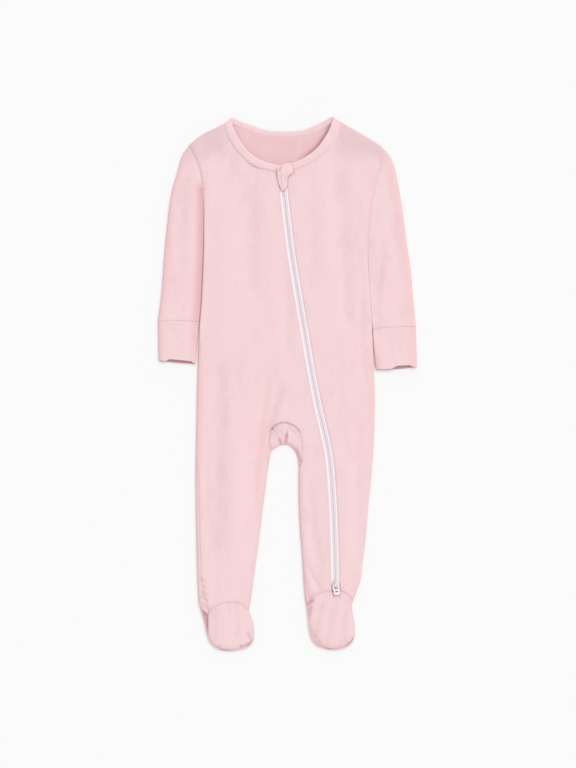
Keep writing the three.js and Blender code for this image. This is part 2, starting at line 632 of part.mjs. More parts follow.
const rowAt = (y, from, to, columns) => row(y, from(y), to(y), columns);
const underarmRow = (from, to, columns) => rowAt(UNDERARM_LEFT_Y, from, to, columns);
const ankleRow = (from, to, columns) => rowAt(LEG_ROWS[0], from, to, columns);
const BACK_LEG_ROWS = LEG_ROWS.slice(1); // those above the heels
const ANKLE_ROWS = { front: 3, back: 2 }; // between the lowest straight row and the ankle
const ANKLE_INSET = 0.3; // from the end of the seam over a foot to the panel's corner
const SHOULDER_COLUMNS = { left: 4, right: 3, backRight: 5 };
const END_REACH = 0.1; // a seam is cut this far past its last point, to keep that point

/** Arched seam over the heel, at the columns of a row. */
function heelLine(fromX, toX, rise, shares) {
  return shares.map((share) => new THREE.Vector2(
    THREE.MathUtils.lerp(fromX, toX, share), ANKLE_Y + rise * Math.sin(Math.PI * share) ** 0.7));
}

/** The seam over a heel, where the back of a leg meets its sole, at the columns of the back. */
const heelSeam = {
  left: heelLine(leftSide(ANKLE_Y), innerLeft(ANKLE_Y), LEFT_FOOT.heelRise,
    shareAlong(ankleRow(leftSide, innerEdgeLeft, BACK_COLUMNS.left))),
  right: heelLine(innerRight(ANKLE_Y), rightSide(ANKLE_Y), RIGHT_FOOT.heelRise,
    shareAlong(ankleRow(innerEdgeRight, rightSide, BACK_COLUMNS.right))),
};

/** Front panel left of the zip: torso, left leg and the inner strip of the right leg. */
function frontMain() {
  const outer = FRONT_COLUMNS.outer;
  const outerRow = underarmRow(seamedLeft, centreLine, outer);
  const neckColumns = outerRow.length - 1 - SHOULDER_COLUMNS.left;
  const shoulder = sample([...LEFT_SHOULDER].reverse(), even(SHOULDER_COLUMNS.left));
  const neckStart = NECK_SEAM[BAND_TURN_LEFT][0] - END_REACH;
  const neck = neckPart(neckLeft, neckStart, CENTRE_TOP.x, neckColumns);
  neck[0].copy(shoulder[SHOULDER_COLUMNS.left]);
  const outerTop = join(shoulder, neck);
  const centreTop = outerTop[outerTop.length - 1];
  const centre = straightLine(outerRow[outerRow.length - 1], centreTop, leftArmhole);
  const outerRows = stripRows({
    from: seamedLeft,
    to: innerEdgeLeft,
    columns: outer,
    ankle: {
      line: ankleLine(LEFT_FOOT.seam, ends(LEFT_FOOT.seam), ankleRow(seamedLeft, innerEdgeLeft, outer)),
      rows: ANKLE_ROWS.front,
    },
    yoke: { line: outerTop, left: leftArmhole, right: centre },
  });

  const inner = FRONT_COLUMNS.inner;
  const innerRow = underarmRow(centreLine, leftOfZip, inner);
  const innerTop = neckPart(neckLeft, CENTRE_TOP.x, ZIP_TOP_LEFT_X, innerRow.length - 1);
  innerTop[0].copy(centreTop);
  const zipEdge = straightLine(innerRow[innerRow.length - 1], innerTop[innerTop.length - 1], leftArmhole);
  const reach = { from: ends(RIGHT_FOOT.seam).from, to: leftOfZip(LEG_ROWS[0]) };
  const innerRows = stripRows({
    from: innerEdgeRight,
    to: leftOfZip,
    columns: inner,
    ankle: {
      line: ankleLine(RIGHT_FOOT.seam, reach, ankleRow(innerEdgeRight, leftOfZip, inner)),
      rows: ANKLE_ROWS.front,
    },
    yoke: { line: innerTop, left: centre, right: zipEdge },
  });
  return new Wall()
    .patch(raise(outerRows, cloth.front))
    .patch(raise(innerRows, cloth.front))
    .geometry();
}

/** Front panel right of the zip: half of the torso and the outer strip of the right leg. */
function frontSide() {
  const side = FRONT_COLUMNS.side;
  const bottom = underarmRow(rightOfZip, rightSide, side);
  const neckColumns = bottom.length - 1 - SHOULDER_COLUMNS.right;
  const neckEnd = NECK_SEAM[BAND_TURN_RIGHT][0] + END_REACH;
  const neck = neckPart(neckRight, ZIP_TOP_RIGHT_X, neckEnd, neckColumns);
  const shoulder = sample(RIGHT_SHOULDER, even(SHOULDER_COLUMNS.right));
  neck[neckColumns].copy(shoulder[0]);
  const top = join(neck, shoulder);
  const zipEdge = straightLine(bottom[0], top[0], rightArmholeHigh);
  const reach = { from: rightOfZip(LEG_ROWS[0]), to: ends(RIGHT_FOOT.seam).to };
  const rows = stripRows({
    from: rightOfZip,
    to: rightSide,
    columns: side,
    ankle: {
      line: ankleLine(RIGHT_FOOT.seam, reach, ankleRow(rightOfZip, rightSide, side)),
      rows: ANKLE_ROWS.front,
    },
    yoke: { line: top, left: zipEdge, right: rightArmholeHigh },
  });
  return new Wall().patch(raise(rows, cloth.front)).geometry();
}

/** Back panel, in one piece with the backs of both legs and the edge that comes round at the left. */
function backPanel() {
  const left = BACK_COLUMNS.left;
  const right = BACK_COLUMNS.right;
  const leftRow = underarmRow(leftSide, centreLine, left);
  const rightRow = underarmRow(centreLine, rightSide, right);
  const shoulderLeft = sample([...LEFT_SHOULDER].reverse(), even(SHOULDER_COLUMNS.left));
  const shoulderRight = sample(RIGHT_SHOULDER, even(SHOULDER_COLUMNS.backRight));
  const neckLine = [LEFT_SHOULDER[0], ...neckBack, RIGHT_SHOULDER[0]];
  const neckL = neckPart(neckLine, LEFT_SHOULDER[0][0] - END_REACH, CENTRE_TOP.x,
    leftRow.length - 1 - SHOULDER_COLUMNS.left);
  neckL[0].copy(shoulderLeft[SHOULDER_COLUMNS.left]);
  const neckR = neckPart(neckLine, CENTRE_TOP.x, RIGHT_SHOULDER[0][0] + END_REACH,
    rightRow.length - 1 - SHOULDER_COLUMNS.backRight);
  neckR[0].copy(neckL[neckL.length - 1]);
  neckR[neckR.length - 1].copy(shoulderRight[0]);
  const centre = straightLine(leftRow[leftRow.length - 1], neckR[0], leftArmhole);
  const leftRows = stripRows({
    from: leftSide,
    to: innerEdgeLeft,
    columns: left,
    legRows: BACK_LEG_ROWS,
    ankle: { line: heelSeam.left, rows: ANKLE_ROWS.back },
    yoke: { line: join(shoulderLeft, neckL), left: leftArmhole, right: centre },
  });
  const rightRows = stripRows({
    from: innerEdgeRight,
    to: rightSide,
    columns: right,
    legRows: BACK_LEG_ROWS,
    ankle: { line: heelSeam.right, rows: ANKLE_ROWS.back },
    yoke: { line: join(neckR, shoulderRight), left: centre, right: rightArmholeHigh },
  });
  const wall = new Wall()
    .patch(raise(leftRows, cloth.back), true)
    .patch(raise(rightRows, cloth.back), true);

  const wrapRows = leftRows.filter((points) => wrapWidth(points[0].y) > 1).reverse();
  const wrapShares = [0, 0.1, 0.35, 0.68, 1];
  const wrapped = wrapRows.map((points) => {
    const edge = points[0];
    const width = wrapWidth(edge.y);
    return wrapShares.map((share) => (
      share === 0 ? cloth.back(edge.x, edge.y) : cloth.front(edge.x + share * width, edge.y)));
  });
  return wall.patch(wrapped, true).geometry();
}

/** Crotch gusset: the arched piece on the front, turned round the crotch onto the back. */
function gusset() {
  const leftFoot = ARCH.findIndex(({ y }) => y < CROTCH_EDGE[0][1] + 1) + 1;
  const edge = (side) => ARCH.map((r) => [r[side], r.y]);
  const arch = [...edge('left').slice(0, leftFoot).reverse(), ...edge('right').slice(1)];
  const line = offset(sample(arch, even(60)), ARCH_GAP).map((p) => [p.x, p.y]);
  const crown = { from: 0.26, to: 0.58 }; // the stretch of the arch that is its top
  const columns = 8;
  const up = [0, 0.05, 0.14, 0.3, 0.6, 1];
  const left = sample(line, up.map((share) => share * crown.from));
  const right = sample(line, up.map((share) => 1 - share * (1 - crown.to)));
  const top = sample(line, even(columns).map((share) => THREE.MathUtils.lerp(crown.from, crown.to, share)));
  const bottom = sample(CROTCH_EDGE, even(columns));
  left[0].copy(bottom[0]);
  right[0].copy(bottom[columns]);
  const rows = fill(bottom, top, left, right);
  const folded = layers(BODY_EDGES, { split: 0 });
  return new Wall()
    .patch(raise(rows, folded.front, folded.rim, ['bottom']))
    .patch(raise(rows, folded.back, folded.rim, ['bottom']), true)
    .geometry();
}

/** A flattened tube of cloth through rows of points, open at its first and last row. */
function tubeWall(rows, edges) {
  const tube = layers(edges, { split: 0 });
  return new Wall()
    .patch(raise(rows, tube.front, tube.rim, ['left', 'right']))
    .patch(raise(rows, tube.back, tube.rim, ['left', 'right']), true)
    .geometry();
}

/** A sleeve: one piece of cloth round the arm, flattened, open at the armhole and the cuff. */
function sleeve(armhole, leftEdge, rightEdge, edges) {
  const rowShares = [0, 0.05, 0.13, 0.25, 0.4, 0.55, 0.7, 0.85, 1];
  const left = sample(leftEdge, rowShares).reverse();
  const right = sample(rightEdge, rowShares).reverse();
  left[left.length - 1].copy(armhole[0]);
  right[right.length - 1].copy(armhole[armhole.length - 1]);
  const hem = straightLine(left[0], right[0], armhole);
  return tubeWall(fill(hem, armhole, left, right), edges);
}

const leftSleeveTop = offset([...leftArmhole].reverse(), SEAM_GAP);
const rightSleeveTop = offset([...rightArmholeLow, ...rightArmholeHigh.slice(1)], SEAM_GAP);

/** A cuff: a short flattened tube, sewn to the sleeve at its top and open at its hem. */
function cuff({ seam, hem }, like) {
  const [seamLeft, seamRight] = seam.map(([x, y]) => new THREE.Vector2(x, y));
  const [hemLeft, hemRight] = hem.map(([x, y]) => new THREE.Vector2(x, y));
  const rowShares = [0, 0.1, 0.5, 1];
  const side = (low, high) => rowShares.map((share) => low.clone().lerp(high, share));
  const left = side(hemLeft, seamLeft);
  const right = side(hemRight, seamRight);
  const bottom = straightLine(hemLeft, hemRight, like);
  const top = straightLine(seamLeft, seamRight, like);
  return tubeWall(fill(bottom, top, left, right), [[...left].reverse(), right]);
}

/** Splits the outline of a foot into its left side, its toe and its right side. */
function footSides(outline, toe, up, across) {
  return {
    left: sample(outline, up.map((share) => (1 - share) * toe.from)),
    right: sample(outline, up.map((share) => toe.to + share * (1 - toe.to))),
    tip: sample(outline, across.map((share) => THREE.MathUtils.lerp(toe.from, toe.to, share))),
  };
}

/** Top of a foot, between its seam to the leg and the sole. */
function footTop(foot) {
  const across = sharesWithEdges(5);
  const up = [0, 0.02, 0.07, 0.14, 0.34, 0.56, 0.78, 1];
  const { left, right, tip } = footSides(foot.top, foot.toe, up, across);
  const seam = offset(sample(foot.seam, across), ANKLE_SEAM_GAP);
  left[left.length - 1].copy(seam[0]);
  right[right.length - 1].copy(seam[seam.length - 1]);
  const own = layers([dense(foot.top)]);
  return new Wall().patch(raise(fill(tip, seam, left, right), own.front)).geometry();
}

/** Sole of a foot: it rests on the surface and its edge turns up round the toe. */
function sole(foot, seam) {
  const across = shareAlong(seam.map(({ x }) => new THREE.Vector2(x, 0)));
  const up = [0, 0.015, 0.05, 0.1, 0.3, 0.55, 0.8, 1];
  const { left, right, tip } = footSides(foot.outline, foot.toe, up, across);
  const heel = offset(seam, HEEL_SEAM_GAP);
  left[left.length - 1].copy(heel[0]);
  right[right.length - 1].copy(heel[heel.length - 1]);
  return new Wall().patch(raise(fill(tip, heel, left, right), cloth.back), true).geometry();
}

/** The neckband: two layers of cloth on a fold, round the neck from one side of the zip to the other. */
function neckband() {
  const half = FOLDED_CLOTH / 2;
  const seam = curveThrough(NECKBAND.map((r) => new THREE.Vector3(r.seamX, r.seamY, r.z)));
  const edge = curveThrough(NECKBAND.map((r) => new THREE.Vector3(r.edgeX, r.edgeY, r.z)));
  const profile = [[0, -0.9], [0.85, -1], [1, -0.3], [1, 0.3], [0.85, 1], [0, 0.9]];
  return bar(even(BAND_STATIONS).map((station) => {
    const sewn = seam.getPoint(station);
    const free = edge.getPoint(station);
    const start = sewn.lerp(free, BAND_GAP / sewn.distanceTo(free));
    return profile.map(([share, side]) => {
      const p = start.clone().lerp(free, share);
      p.z += side * half;
      return p;
    });
  }));
}

/** Height of what the guard lies on: the neckband, then the front beside the zip. */
function underGuard(x, y) {
  const bandTop = NECKBAND[0].z + FOLDED_CLOTH / 2;
  const front = frontHeight(x, y, nearest(x, y, BODY_EDGES).distance);
  return THREE.MathUtils.lerp(front, bandTop, THREE.MathUtils.smoothstep(y, 262, NECKBAND[0].seamY));
}

/** The folded guard that covers the top of the zip. */
function zipGuard() {
  const up = even(7);
  const across = even(4);
  const top = sample(GUARD_TOP, across);
  const left = sample(GUARD_LEFT, up).reverse();
  const right = sample(GUARD_RIGHT, up).reverse();
  const bottom = across.map((share) => left[0].clone().lerp(right[0], share));
  const rows = fill(bottom, top, left, right);
  const lift = (x, y) => {
    const z = underGuard(x, y) + SEAM_GAP + GUARD_CLOTH;
    return wallPoint(x, y, z, new THREE.Vector2(), 0, 1, GUARD_CLOTH);
  };
  return new Wall().patch(raise(rows, lift)).geometry();
}

const TAPE_ENDS = { top: 268, bottom: -268.5, step: 26 };
const CHAIN_STEP = 24;
const CHAIN_CLEARANCE = 0.3; // from the teeth to the tapes

/** One tape of the zip, from the teeth to its edge hidden under the front. */
function zipTape(side) {
  const insets = [CHAIN_WIDTH / 2 + CHAIN_CLEARANCE, ZIP_OPENING, TAPE_REACH];
  if (side < 0) insets.reverse();
  const tape = layers(BODY_EDGES, { drop: TAPE_DROP, thickness: TAPE_THICKNESS });
  const rows = steps(TAPE_ENDS.bottom, TAPE_ENDS.top, TAPE_ENDS.step).map((y) => (
    insets.map((inset) => new THREE.Vector2(zipLine(y) + side * inset, y))));
  return new Wall().patch(raise(rows, tape.front)).geometry();
}

/** The closed row of teeth between the tapes. */
function zipChain() {
  const half = CHAIN_WIDTH / 2;
  const up = CHAIN_HEIGHT / 2;
  const profile = [[-1, 0], [-0.6, -1], [0.6, -1], [1, 0], [0.6, 1], [-0.6, 1]];
  return bar(steps(CHAIN_TOP_Y, CHAIN_END_Y, CHAIN_STEP).map((y) => {
    const x = zipLine(y);
    const cover = frontHeight(x, y, nearest(x, y, BODY_EDGES).distance);
    const middle = cover - CHAIN_DROP - up;
    return profile.map(([across, rise]) => new THREE.Vector3(x + across * half, y, middle + rise * up));
  }));
}

const wasm = await Module();
wasm.setup();

/** A closed geometry as a solid that can be joined and cut. */
function solid(geometry) {
  const bare = geometry.clone();
  bare.deleteAttribute('normal');
  bare.deleteAttribute('uv');
  const merged = mergeVertices(bare, 1e-4);
  return new wasm.Manifold(new wasm.Mesh({
    numProp: 3,
    vertProperties: new Float32Array(merged.attributes.position.array),
    triVerts: new Uint32Array(merged.index.array),
  }));
}

/** A solid's surface as a geometry. */
function surface(body) {
  const mesh = body.getMesh();
  const geometry = new THREE.BufferGeometry();
  geometry.setAttribute('position', new THREE.Float32BufferAttribute(mesh.vertProperties, 3));
  geometry.setIndex(Array.from(mesh.triVerts));
  geometry.computeVertexNormals();
  return geometry;
}

/** A flat plate from an outline, between two heights. */
function plate(shape, bottom, top, holes = []) {
  shape.holes = holes;
  const extrusion = { depth: top - bottom, bevelEnabled: false, curveSegments: 4 };
  return new THREE.ExtrudeGeometry(shape, extrusion).translate(0, 0, bottom);
}

/** A block with its middle at a point. */
function block(x, y, z, width, length, height) {
  return new THREE.BoxGeometry(width, length, height).translate(x, y, z);
}

/** Outline of a slider plate: broad at the shoulders, narrow at the tail, which points up the zip. */
function sliderShape() {
  const half = SLIDER.width / 2;
  const tail = SLIDER.tail / 2;
  const end = SLIDER.length / 2;
  const shape = new THREE.Shape();
  shape.moveTo(-tail, end);
  shape.quadraticCurveTo(-half, end * 0.2, -half, -end * 0.35);
  shape.quadraticCurveTo(-half, -end, -half * 0.45, -end);
  shape.lineTo(half * 0.45, -end);
  shape.quadraticCurveTo(half, -end, half, -end * 0.35);
  shape.quadraticCurveTo(half, end * 0.2, tail, end);
  return shape;
}

/** The slider: two plates, the post that joins them and the crown that holds the tab. */
function slider() {
  const { lowBottom, lowTop, highBottom, highTop } = SLIDER_PLATE;
  const { width, length, sink, fromEnd } = SLIDER_POST;
  const low = solid(plate(sliderShape(), lowBottom, lowTop));
  const high = solid(plate(sliderShape(), highBottom, highTop));
  const postHeight = highTop - lowBottom - 2 * sink;
  const postZ = (highTop + lowBottom) / 2;
  const post = solid(block(0, fromEnd - SLIDER.length / 2, postZ, width, length, postHeight));
  const legHeight = CROWN.top - highTop + CROWN.sink;
  const legZ = CROWN.top - legHeight / 2;
  const legY = (CROWN.length - CROWN.bar) / 2;
  const legs = [-legY, legY].map((y) => solid(block(0, y, legZ, CROWN.width, CROWN.bar, legHeight)));
  const bridgeZ = CROWN.top - CROWN.bridge / 2;
  const bridge = solid(block(0, 0, bridgeZ, CROWN.width, CROWN.length - CROWN.bar, CROWN.bridge));
  const whole = [high, post, ...legs, bridge].reduce((sum, part) => sum.add(part), low);
  return surface(whole).translate(SLIDER.x, SLIDER.y, 0);
}

/** A round-ended outline from a given distance down the tab. */
function roundEnded(start, length, width, Kind) {
  const radius = Math.min(width / 2, length / 2) * 0.98;
  const outline = new Kind();
  const half = width / 2;
  outline.moveTo(-half + radius, -start);
  outline.absarc(-half + radius, -start - radius, radius, Math.PI / 2, Math.PI, false);
  outline.absarc(-half + radius, -start - length + radius, radius, Math.PI, 1.5 * Math.PI, false);
  outline.absarc(half - radius, -start - length + radius, radius, 1.5 * Math.PI, 2 * Math.PI, false);
  outline.absarc(half - radius, -start - radius, radius, 0, Math.PI / 2, false);
  return outline;
}

/** The pull tab: a flat ring whose upper bar turns in the crown. */
function pullTab() {
  const outline = roundEnded(-TAB_EYE.start, TAB.length + TAB_EYE.start, TAB.width, THREE.Shape);
  const eye = roundEnded(TAB_EYE.start, TAB_EYE.length, TAB_EYE.width, THREE.Path);
  const slot = roundEnded(TAB_SLOT.start, TAB_SLOT.length, TAB_SLOT.width, THREE.Path);
  const half = TAB.thickness / 2;
  return plate(outline, -half, half, [eye, slot])
    .rotateZ(THREE.MathUtils.degToRad(TAB.tilt))
    .translate(SLIDER.x, SLIDER.y, TAB.height);
}

/** One named piece with its own material. */
function piece(name, geometry, color, roughness, metalness = 0) {
  const mesh = new THREE.Mesh(geometry, new THREE.MeshStandardMaterial({ color, roughness, metalness }));
  mesh.name = name;
  return mesh;
}

const leftSleeve = sleeve(leftSleeveTop, LEFT_SLEEVE_OUTER, LEFT_SLEEVE_INNER, LEFT_SLEEVE_EDGES);
const rightSleeve = sleeve(rightSleeveTop, RIGHT_SLEEVE_INNER, RIGHT_SLEEVE_OUTER, RIGHT_SLEEVE_EDGES);
const sleepsuit = new THREE.Group();
sleepsuit.add(
  piece('front_main', frontMain(), PINK, 0.9),
  piece('front_side', frontSide(), PINK, 0.9),
  piece('back_panel', backPanel(), PINK, 0.9),
  piece('crotch_gusset', gusset(), PINK, 0.9),
  piece('sleeve_left', leftSleeve, PINK, 0.9),
  piece('sleeve_right', rightSleeve, PINK, 0.9),
  piece('cuff_left', cuff(CUFFS.left, leftSleeveTop), PINK, 0.9),
  piece('cuff_right', cuff(CUFFS.right, rightSleeveTop), PINK, 0.9),
  piece('foot_top_left', footTop(LEFT_FOOT), PINK, 0.9),
  piece('foot_top_right', footTop(RIGHT_FOOT), PINK, 0.9),
  piece('sole_left', sole(LEFT_FOOT, heelSeam.left), PINK, 0.9),
  piece('sole_right', sole(RIGHT_FOOT, heelSeam.right), PINK, 0.9),
  piece('neckband', neckband(), PINK_BAND, 0.85),
  piece('zip_guard', zipGuard(), PINK_BAND, 0.85),
  piece('zip_tape_left', zipTape(-1), WHITE_TAPE, 0.8),
  piece('zip_tape_right', zipTape(1), WHITE_TAPE, 0.8),
  piece('zip_chain', zipChain(), GREY_COIL, 0.5),
  piece('zip_slider', slider(), WHITE_ENAMEL, 0.35),
  piece('zip_pull_tab', pullTab(), WHITE_ENAMEL, 0.35),
);

export default sleepsuit;
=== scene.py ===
import logging
import math
from dataclasses import dataclass, field
from enum import Enum
from typing import Callable, Sequence

import bmesh
import bpy
import numpy as np
from bpy.types import ID, Material, Node, NodeSocket, NodeTree, Object
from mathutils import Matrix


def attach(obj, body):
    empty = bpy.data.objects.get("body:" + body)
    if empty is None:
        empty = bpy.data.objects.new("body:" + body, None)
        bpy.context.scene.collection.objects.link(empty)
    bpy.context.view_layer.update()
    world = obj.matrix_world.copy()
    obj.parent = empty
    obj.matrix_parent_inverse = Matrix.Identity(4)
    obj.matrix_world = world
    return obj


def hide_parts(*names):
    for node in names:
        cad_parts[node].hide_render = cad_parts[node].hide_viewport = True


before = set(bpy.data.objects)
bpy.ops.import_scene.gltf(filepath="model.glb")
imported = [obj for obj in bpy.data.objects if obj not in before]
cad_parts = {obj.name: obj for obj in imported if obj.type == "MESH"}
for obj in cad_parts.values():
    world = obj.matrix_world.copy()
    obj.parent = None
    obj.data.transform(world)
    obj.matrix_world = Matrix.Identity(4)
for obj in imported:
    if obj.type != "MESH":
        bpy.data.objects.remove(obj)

log = logging.getLogger("sleepsuit")

Array = np.ndarray
Color = tuple[float, float, float]

MM = 0.001  # patterns and tables are in millimetres, meshes in metres


class Body(Enum):
    """Bodies that pieces ride on."""

    SUIT = "suit"
    TAB = "tab"


class Side(Enum):
    """Which half of the garment, as seen from the front."""

    LEFT = "left"
    RIGHT = "right"


class Slot(Enum):
    """Material slots of the record."""

    JERSEY = "jersey"
    TRIM = "trim"
    TAPE = "zip_tape"
    COIL = "zip_coil"
    ENAMEL = "zip_enamel"


# Tables of the cut, in millimetres; left and right as seen from the front

SECTIONS = {
    "y": [290, 252, 236, 196, 170, 110, 76, 20, -25, -75, -92, -120, -160, -200, -232, -256, -268, -284],
    "left": [-109.5, -109.5, -108.8, -108.8, -109.3, -111.8, -114.4, -116.5, -117.6, -118.4, -118.8,
             -119.2, -118.8, -118.1, -117.4, -116.8, -116.2, -115.2],
    "zip": [-7, -4.8, -3.1, 1.6, 5, 14.9, 20.7, 30.4, 39, 50.4, 53.8, 56.8, 59.4, 60.9, 61.8,
            62.3, 62.4, 62.5],
    "right": [120, 112.6, 109, 105.2, 104.3, 107.7, 109.9, 112.3, 113.7, 112.4, 111.4, 109.3,
              105.2, 101.8, 98, 95, 91, 84.4],
    "wrap": [0, 0, 0, 0, 0, 0, 0, 0, 0, 0, 0, 2.6, 3.6, 4, 4.5, 5, 5.6, 8.2],
}
INNER_LEGS = {
    "y": [-88, -110, -130, -150, -185, -215, -245, -270, -296],
    "left": [-21.5, -25.4, -28, -30.4, -34.8, -38.6, -42.8, -46.2, -50],
    "right": [15.2, 15, 15, 15.1, 16.5, 18.8, 20.8, 22.4, 25.6],
}
ARCH = {
    "y": [-51.4, -52.6, -54.2, -57.9, -63, -70, -78, -87.6, -97, -106],
    "left": [-5.9, -11, -15, -19.4, -21.8, -23.4, -24.1, -22.1, -22.9, -24.4],
    "right": [-5.9, 2, 6, 11.6, 15.2, 17.4, 18.2, 18.6, 18.4, 17.4],
}
CROTCH_EDGE = [(-21.9, -88.2), (-15.5, -83.4), (-9, -79.6), (-3.5, -79), (2, -79.6), (9.1, -86),
               (13.4, -95), (15, -106.6)]
LEFT_SHOULDER = [(-81.4, 338.2), (-104.7, 327), (-116.5, 319.6), (-127.6, 310.2)]
RIGHT_SHOULDER = [(67.6, 341.4), (91.7, 327.4), (108, 318), (120.6, 309.6)]
LEFT_SLEEVE_OUTER = [(-127.6, 310.2), (-136.6, 296.4), (-141.2, 281), (-146.3, 264.6), (-151.5, 243.8),
                     (-156, 208), (-160.4, 162), (-163.4, 119), (-168.4, 80.2)]
LEFT_SLEEVE_INNER = [(-109.5, 252), (-109, 236), (-109.2, 190), (-110.9, 140), (-112.7, 104),
                     (-115, 80.2)]
RIGHT_SLEEVE_OUTER = [(120.6, 309.6), (133, 296.2), (140, 279), (145.2, 254), (150.2, 223),
                      (154.8, 186), (160.2, 150), (163.6, 112), (167.2, 74)]
RIGHT_SLEEVE_INNER = [(104.3, 170), (105.3, 150), (107.7, 110), (109.5, 84), (110.6, 71.2)]
LEFT_ARMHOLE = [(-109.5, 252), (-111.4, 266), (-115, 282), (-121.2, 296.5), (-127.6, 310.2)]
RIGHT_ARMHOLE = [(112.6, 252), (116.6, 268), (120.4, 284), (122, 298), (120.6, 309.6)]
CUFF_LEFT = {"seam": [(-168.4, 80.1), (-115.2, 80.1)], "hem": [(-167.2, 30), (-120, 25.6)]}
CUFF_RIGHT = {"seam": [(110.8, 71.1), (167.2, 73.9)], "hem": [(115.6, 18), (168.4, 21.6)]}
NECKBAND = [  # sewn edge x, y, free edge x, y, height of the middle
    (-1.6, 274.4, -1.8, 283.8, 6.2), (9.8, 277.2, 6.3, 286.6, 6.2), (27.6, 284.6, 21.5, 293.4, 6.2),
    (45.5, 296.6, 37, 304.4, 6.2), (60.3, 313, 50, 321.6, 6), (67, 330, 56.8, 336, 5.6),
    (67.4, 340.8, 59.4, 346.6, 4), (53.5, 337, 49.8, 342.6, 1.9), (37.5, 328, 34.5, 335.2, 1.6),
    (20, 323, 18.9, 329.8, 1.6), (-4.6, 321.4, -4.6, 328.3, 1.6), (-29.5, 322.8, -28, 329.8, 1.6),
    (-46, 327.5, -43.6, 335, 1.6), (-64, 334.6, -60.2, 340.8, 1.9), (-80.6, 338.6, -72.4, 345.2, 4),
    (-80.2, 327, -70.4, 332, 5.6), (-71.5, 310.5, -62.5, 316.5, 6), (-59.5, 294.7, -52, 302.4, 6.2),
    (-41.5, 281.9, -36.3, 291.4, 6.2), (-20.5, 275.8, -18.3, 285, 6.2), (-10.6, 274.4, -10.4, 283.8, 6.2),
]
BAND_TURN_RIGHT, BAND_TURN_LEFT = 6, 14  # rows where the band turns to the back of the neck
BAND_PROFILE = [  # share from the sewn to the free edge, height in halves of the thickness
    (0, -1.4), (0.3, -1), (0.62, -1), (0.86, -0.97), (0.96, -0.78), (1.01, -0.42), (1.025, 0),
    (1.01, 0.42), (0.96, 0.78), (0.86, 0.97), (0.72, 1.08), (0.6, 0.84), (0.5, 1.06), (0.4, 1.08),
    (0.29, 0.8), (0.18, 0.78), (0.08, 0.1), (0, -0.6), (0.02, -0.75), (0.2, 0), (0.45, 0.14),
    (0.84, 0.12), (0.9, 0), (0.84, -0.12), (0.45, -0.14), (0.2, -0.25), (0.02, -0.95),
]
LEFT_FOOT = {
    "outline": [(-115.2, -284), (-112, -296), (-108, -308), (-105.4, -320), (-102.8, -332),
                (-97.2, -341), (-88, -346), (-75, -347.8), (-61, -346.2), (-50.4, -342.6),
                (-44.6, -335.6), (-43.2, -324), (-45.6, -308), (-50.2, -296), (-48.3, -284)],
    "top": [(-103.6, -296), (-103.4, -308), (-103.2, -320), (-101.8, -332), (-95.6, -340),
            (-86.6, -344.4), (-75, -346.6), (-61.6, -344.8), (-52, -341), (-46.4, -334.2),
            (-44.6, -324), (-46.6, -309), (-51.2, -295)],
    "seam": [(-103.4, -295.6), (-97, -292.4), (-90.7, -288.6), (-81.6, -285.4), (-72.7, -284.6),
             (-62, -286), (-51, -294.6)],
    "heel_rise": 34,
}
RIGHT_FOOT = {
    "outline": [(24, -284), (26, -298), (27.5, -311), (29, -323), (31.8, -332.4), (37, -339.6),
                (47, -344.2), (60.5, -346.2), (72, -344.8), (80.4, -341), (86.2, -334), (87.8, -322),
                (86.6, -308), (84, -294), (84.4, -284)],
    "top": [(26.4, -288.6), (27.8, -302), (29, -314), (30.8, -325), (34.6, -334), (41, -340),
            (50, -343.4), (60.5, -344.6), (70.6, -343.4), (78, -339.6), (84, -333), (86.2, -322),
            (85, -308), (82.8, -294), (84.2, -283.4)],
    "seam": [(26, -288), (32.5, -280), (39.5, -274.4), (48, -271.2), (60, -270.4), (71.8, -270.8),
             (78, -275), (84.3, -282.8)],
    "heel_rise": 30,
}
TOE_FROM, TOE_TO = 0.36, 0.67  # shares of a foot's outline between which its tip lies
GUARD_LEFT = [(-14.4, 279), (-14, 272), (-12.6, 262), (-7.6, 249.6)]
GUARD_RIGHT = [(6.8, 286.4), (8.2, 274.5), (1.6, 268.6), (0.2, 264.4), (0.3, 257.6), (-4.4, 250)]
GUARD_TOP = [(-14.4, 279), (-7.6, 284.8), (6.8, 286.4)]


@dataclass(frozen=True)
class Crease:
    """One soft trough (positive depth) or ridge (negative) along a line, in millimetres."""

    x1: float
    y1: float
    x2: float
    y2: float
    width: float
    depth: float
    fade: float = 18.0


# The large soft folds, calmer towards the rounded edges; the finish paints shade into them
FOLDS = [Crease(*row) for row in (
    (-44.9, 280, -45.5, 130, 10, 0.9), (-0.6, 132, 2, 55, 7, 0.7), (-87.8, 8, -88, -196, 11, 1.1),
    (-62, -40, -70, -230, 12, -0.6), (68, 266, 80, 95, 10, 0.9), (50, 240, 58, 60, 12, -0.5),
    (97.6, 95, 99.5, 20, 6, 0.6), (28, -146, 42, -250, 7, 0.8), (82, -120, 76, -240, 9, -0.5),
    (122.9, 164, 116.4, 124, 6, 0.9), (116.4, 124, 112.6, 70, 6, 0.7), (-138, 250, -141, 110, 11, 0.7),
    (-80, 200, -84, 60, 12, -0.5), (103, 205, 101, 95, 6, 0.35), (-73, 296, -60, 240, 9, 0.45),
    (118, 290, 108, 262, 9, 0.5, 12), (28, 262, 33, 140, 10, 0.4), (-66, 30, -60, -60, 9, 0.4),
    (-104, -120, -104, -180, 6, 0.5), (64, 40, 74, -90, 8, 0.35), (92, -60, 88, -190, 7, 0.35),
    (84, -250, 98, -268, 7, 0.5, 10), (-97, -205, -93, -262, 6, 0.5), (-128, 272, -150, 230, 8, 0.4, 10),
    (-124, 225, -126, 120, 7, -0.35), (136, 262, 142, 150, 10, 0.45), (-20, 200, -18, 90, 9, -0.3),
)]
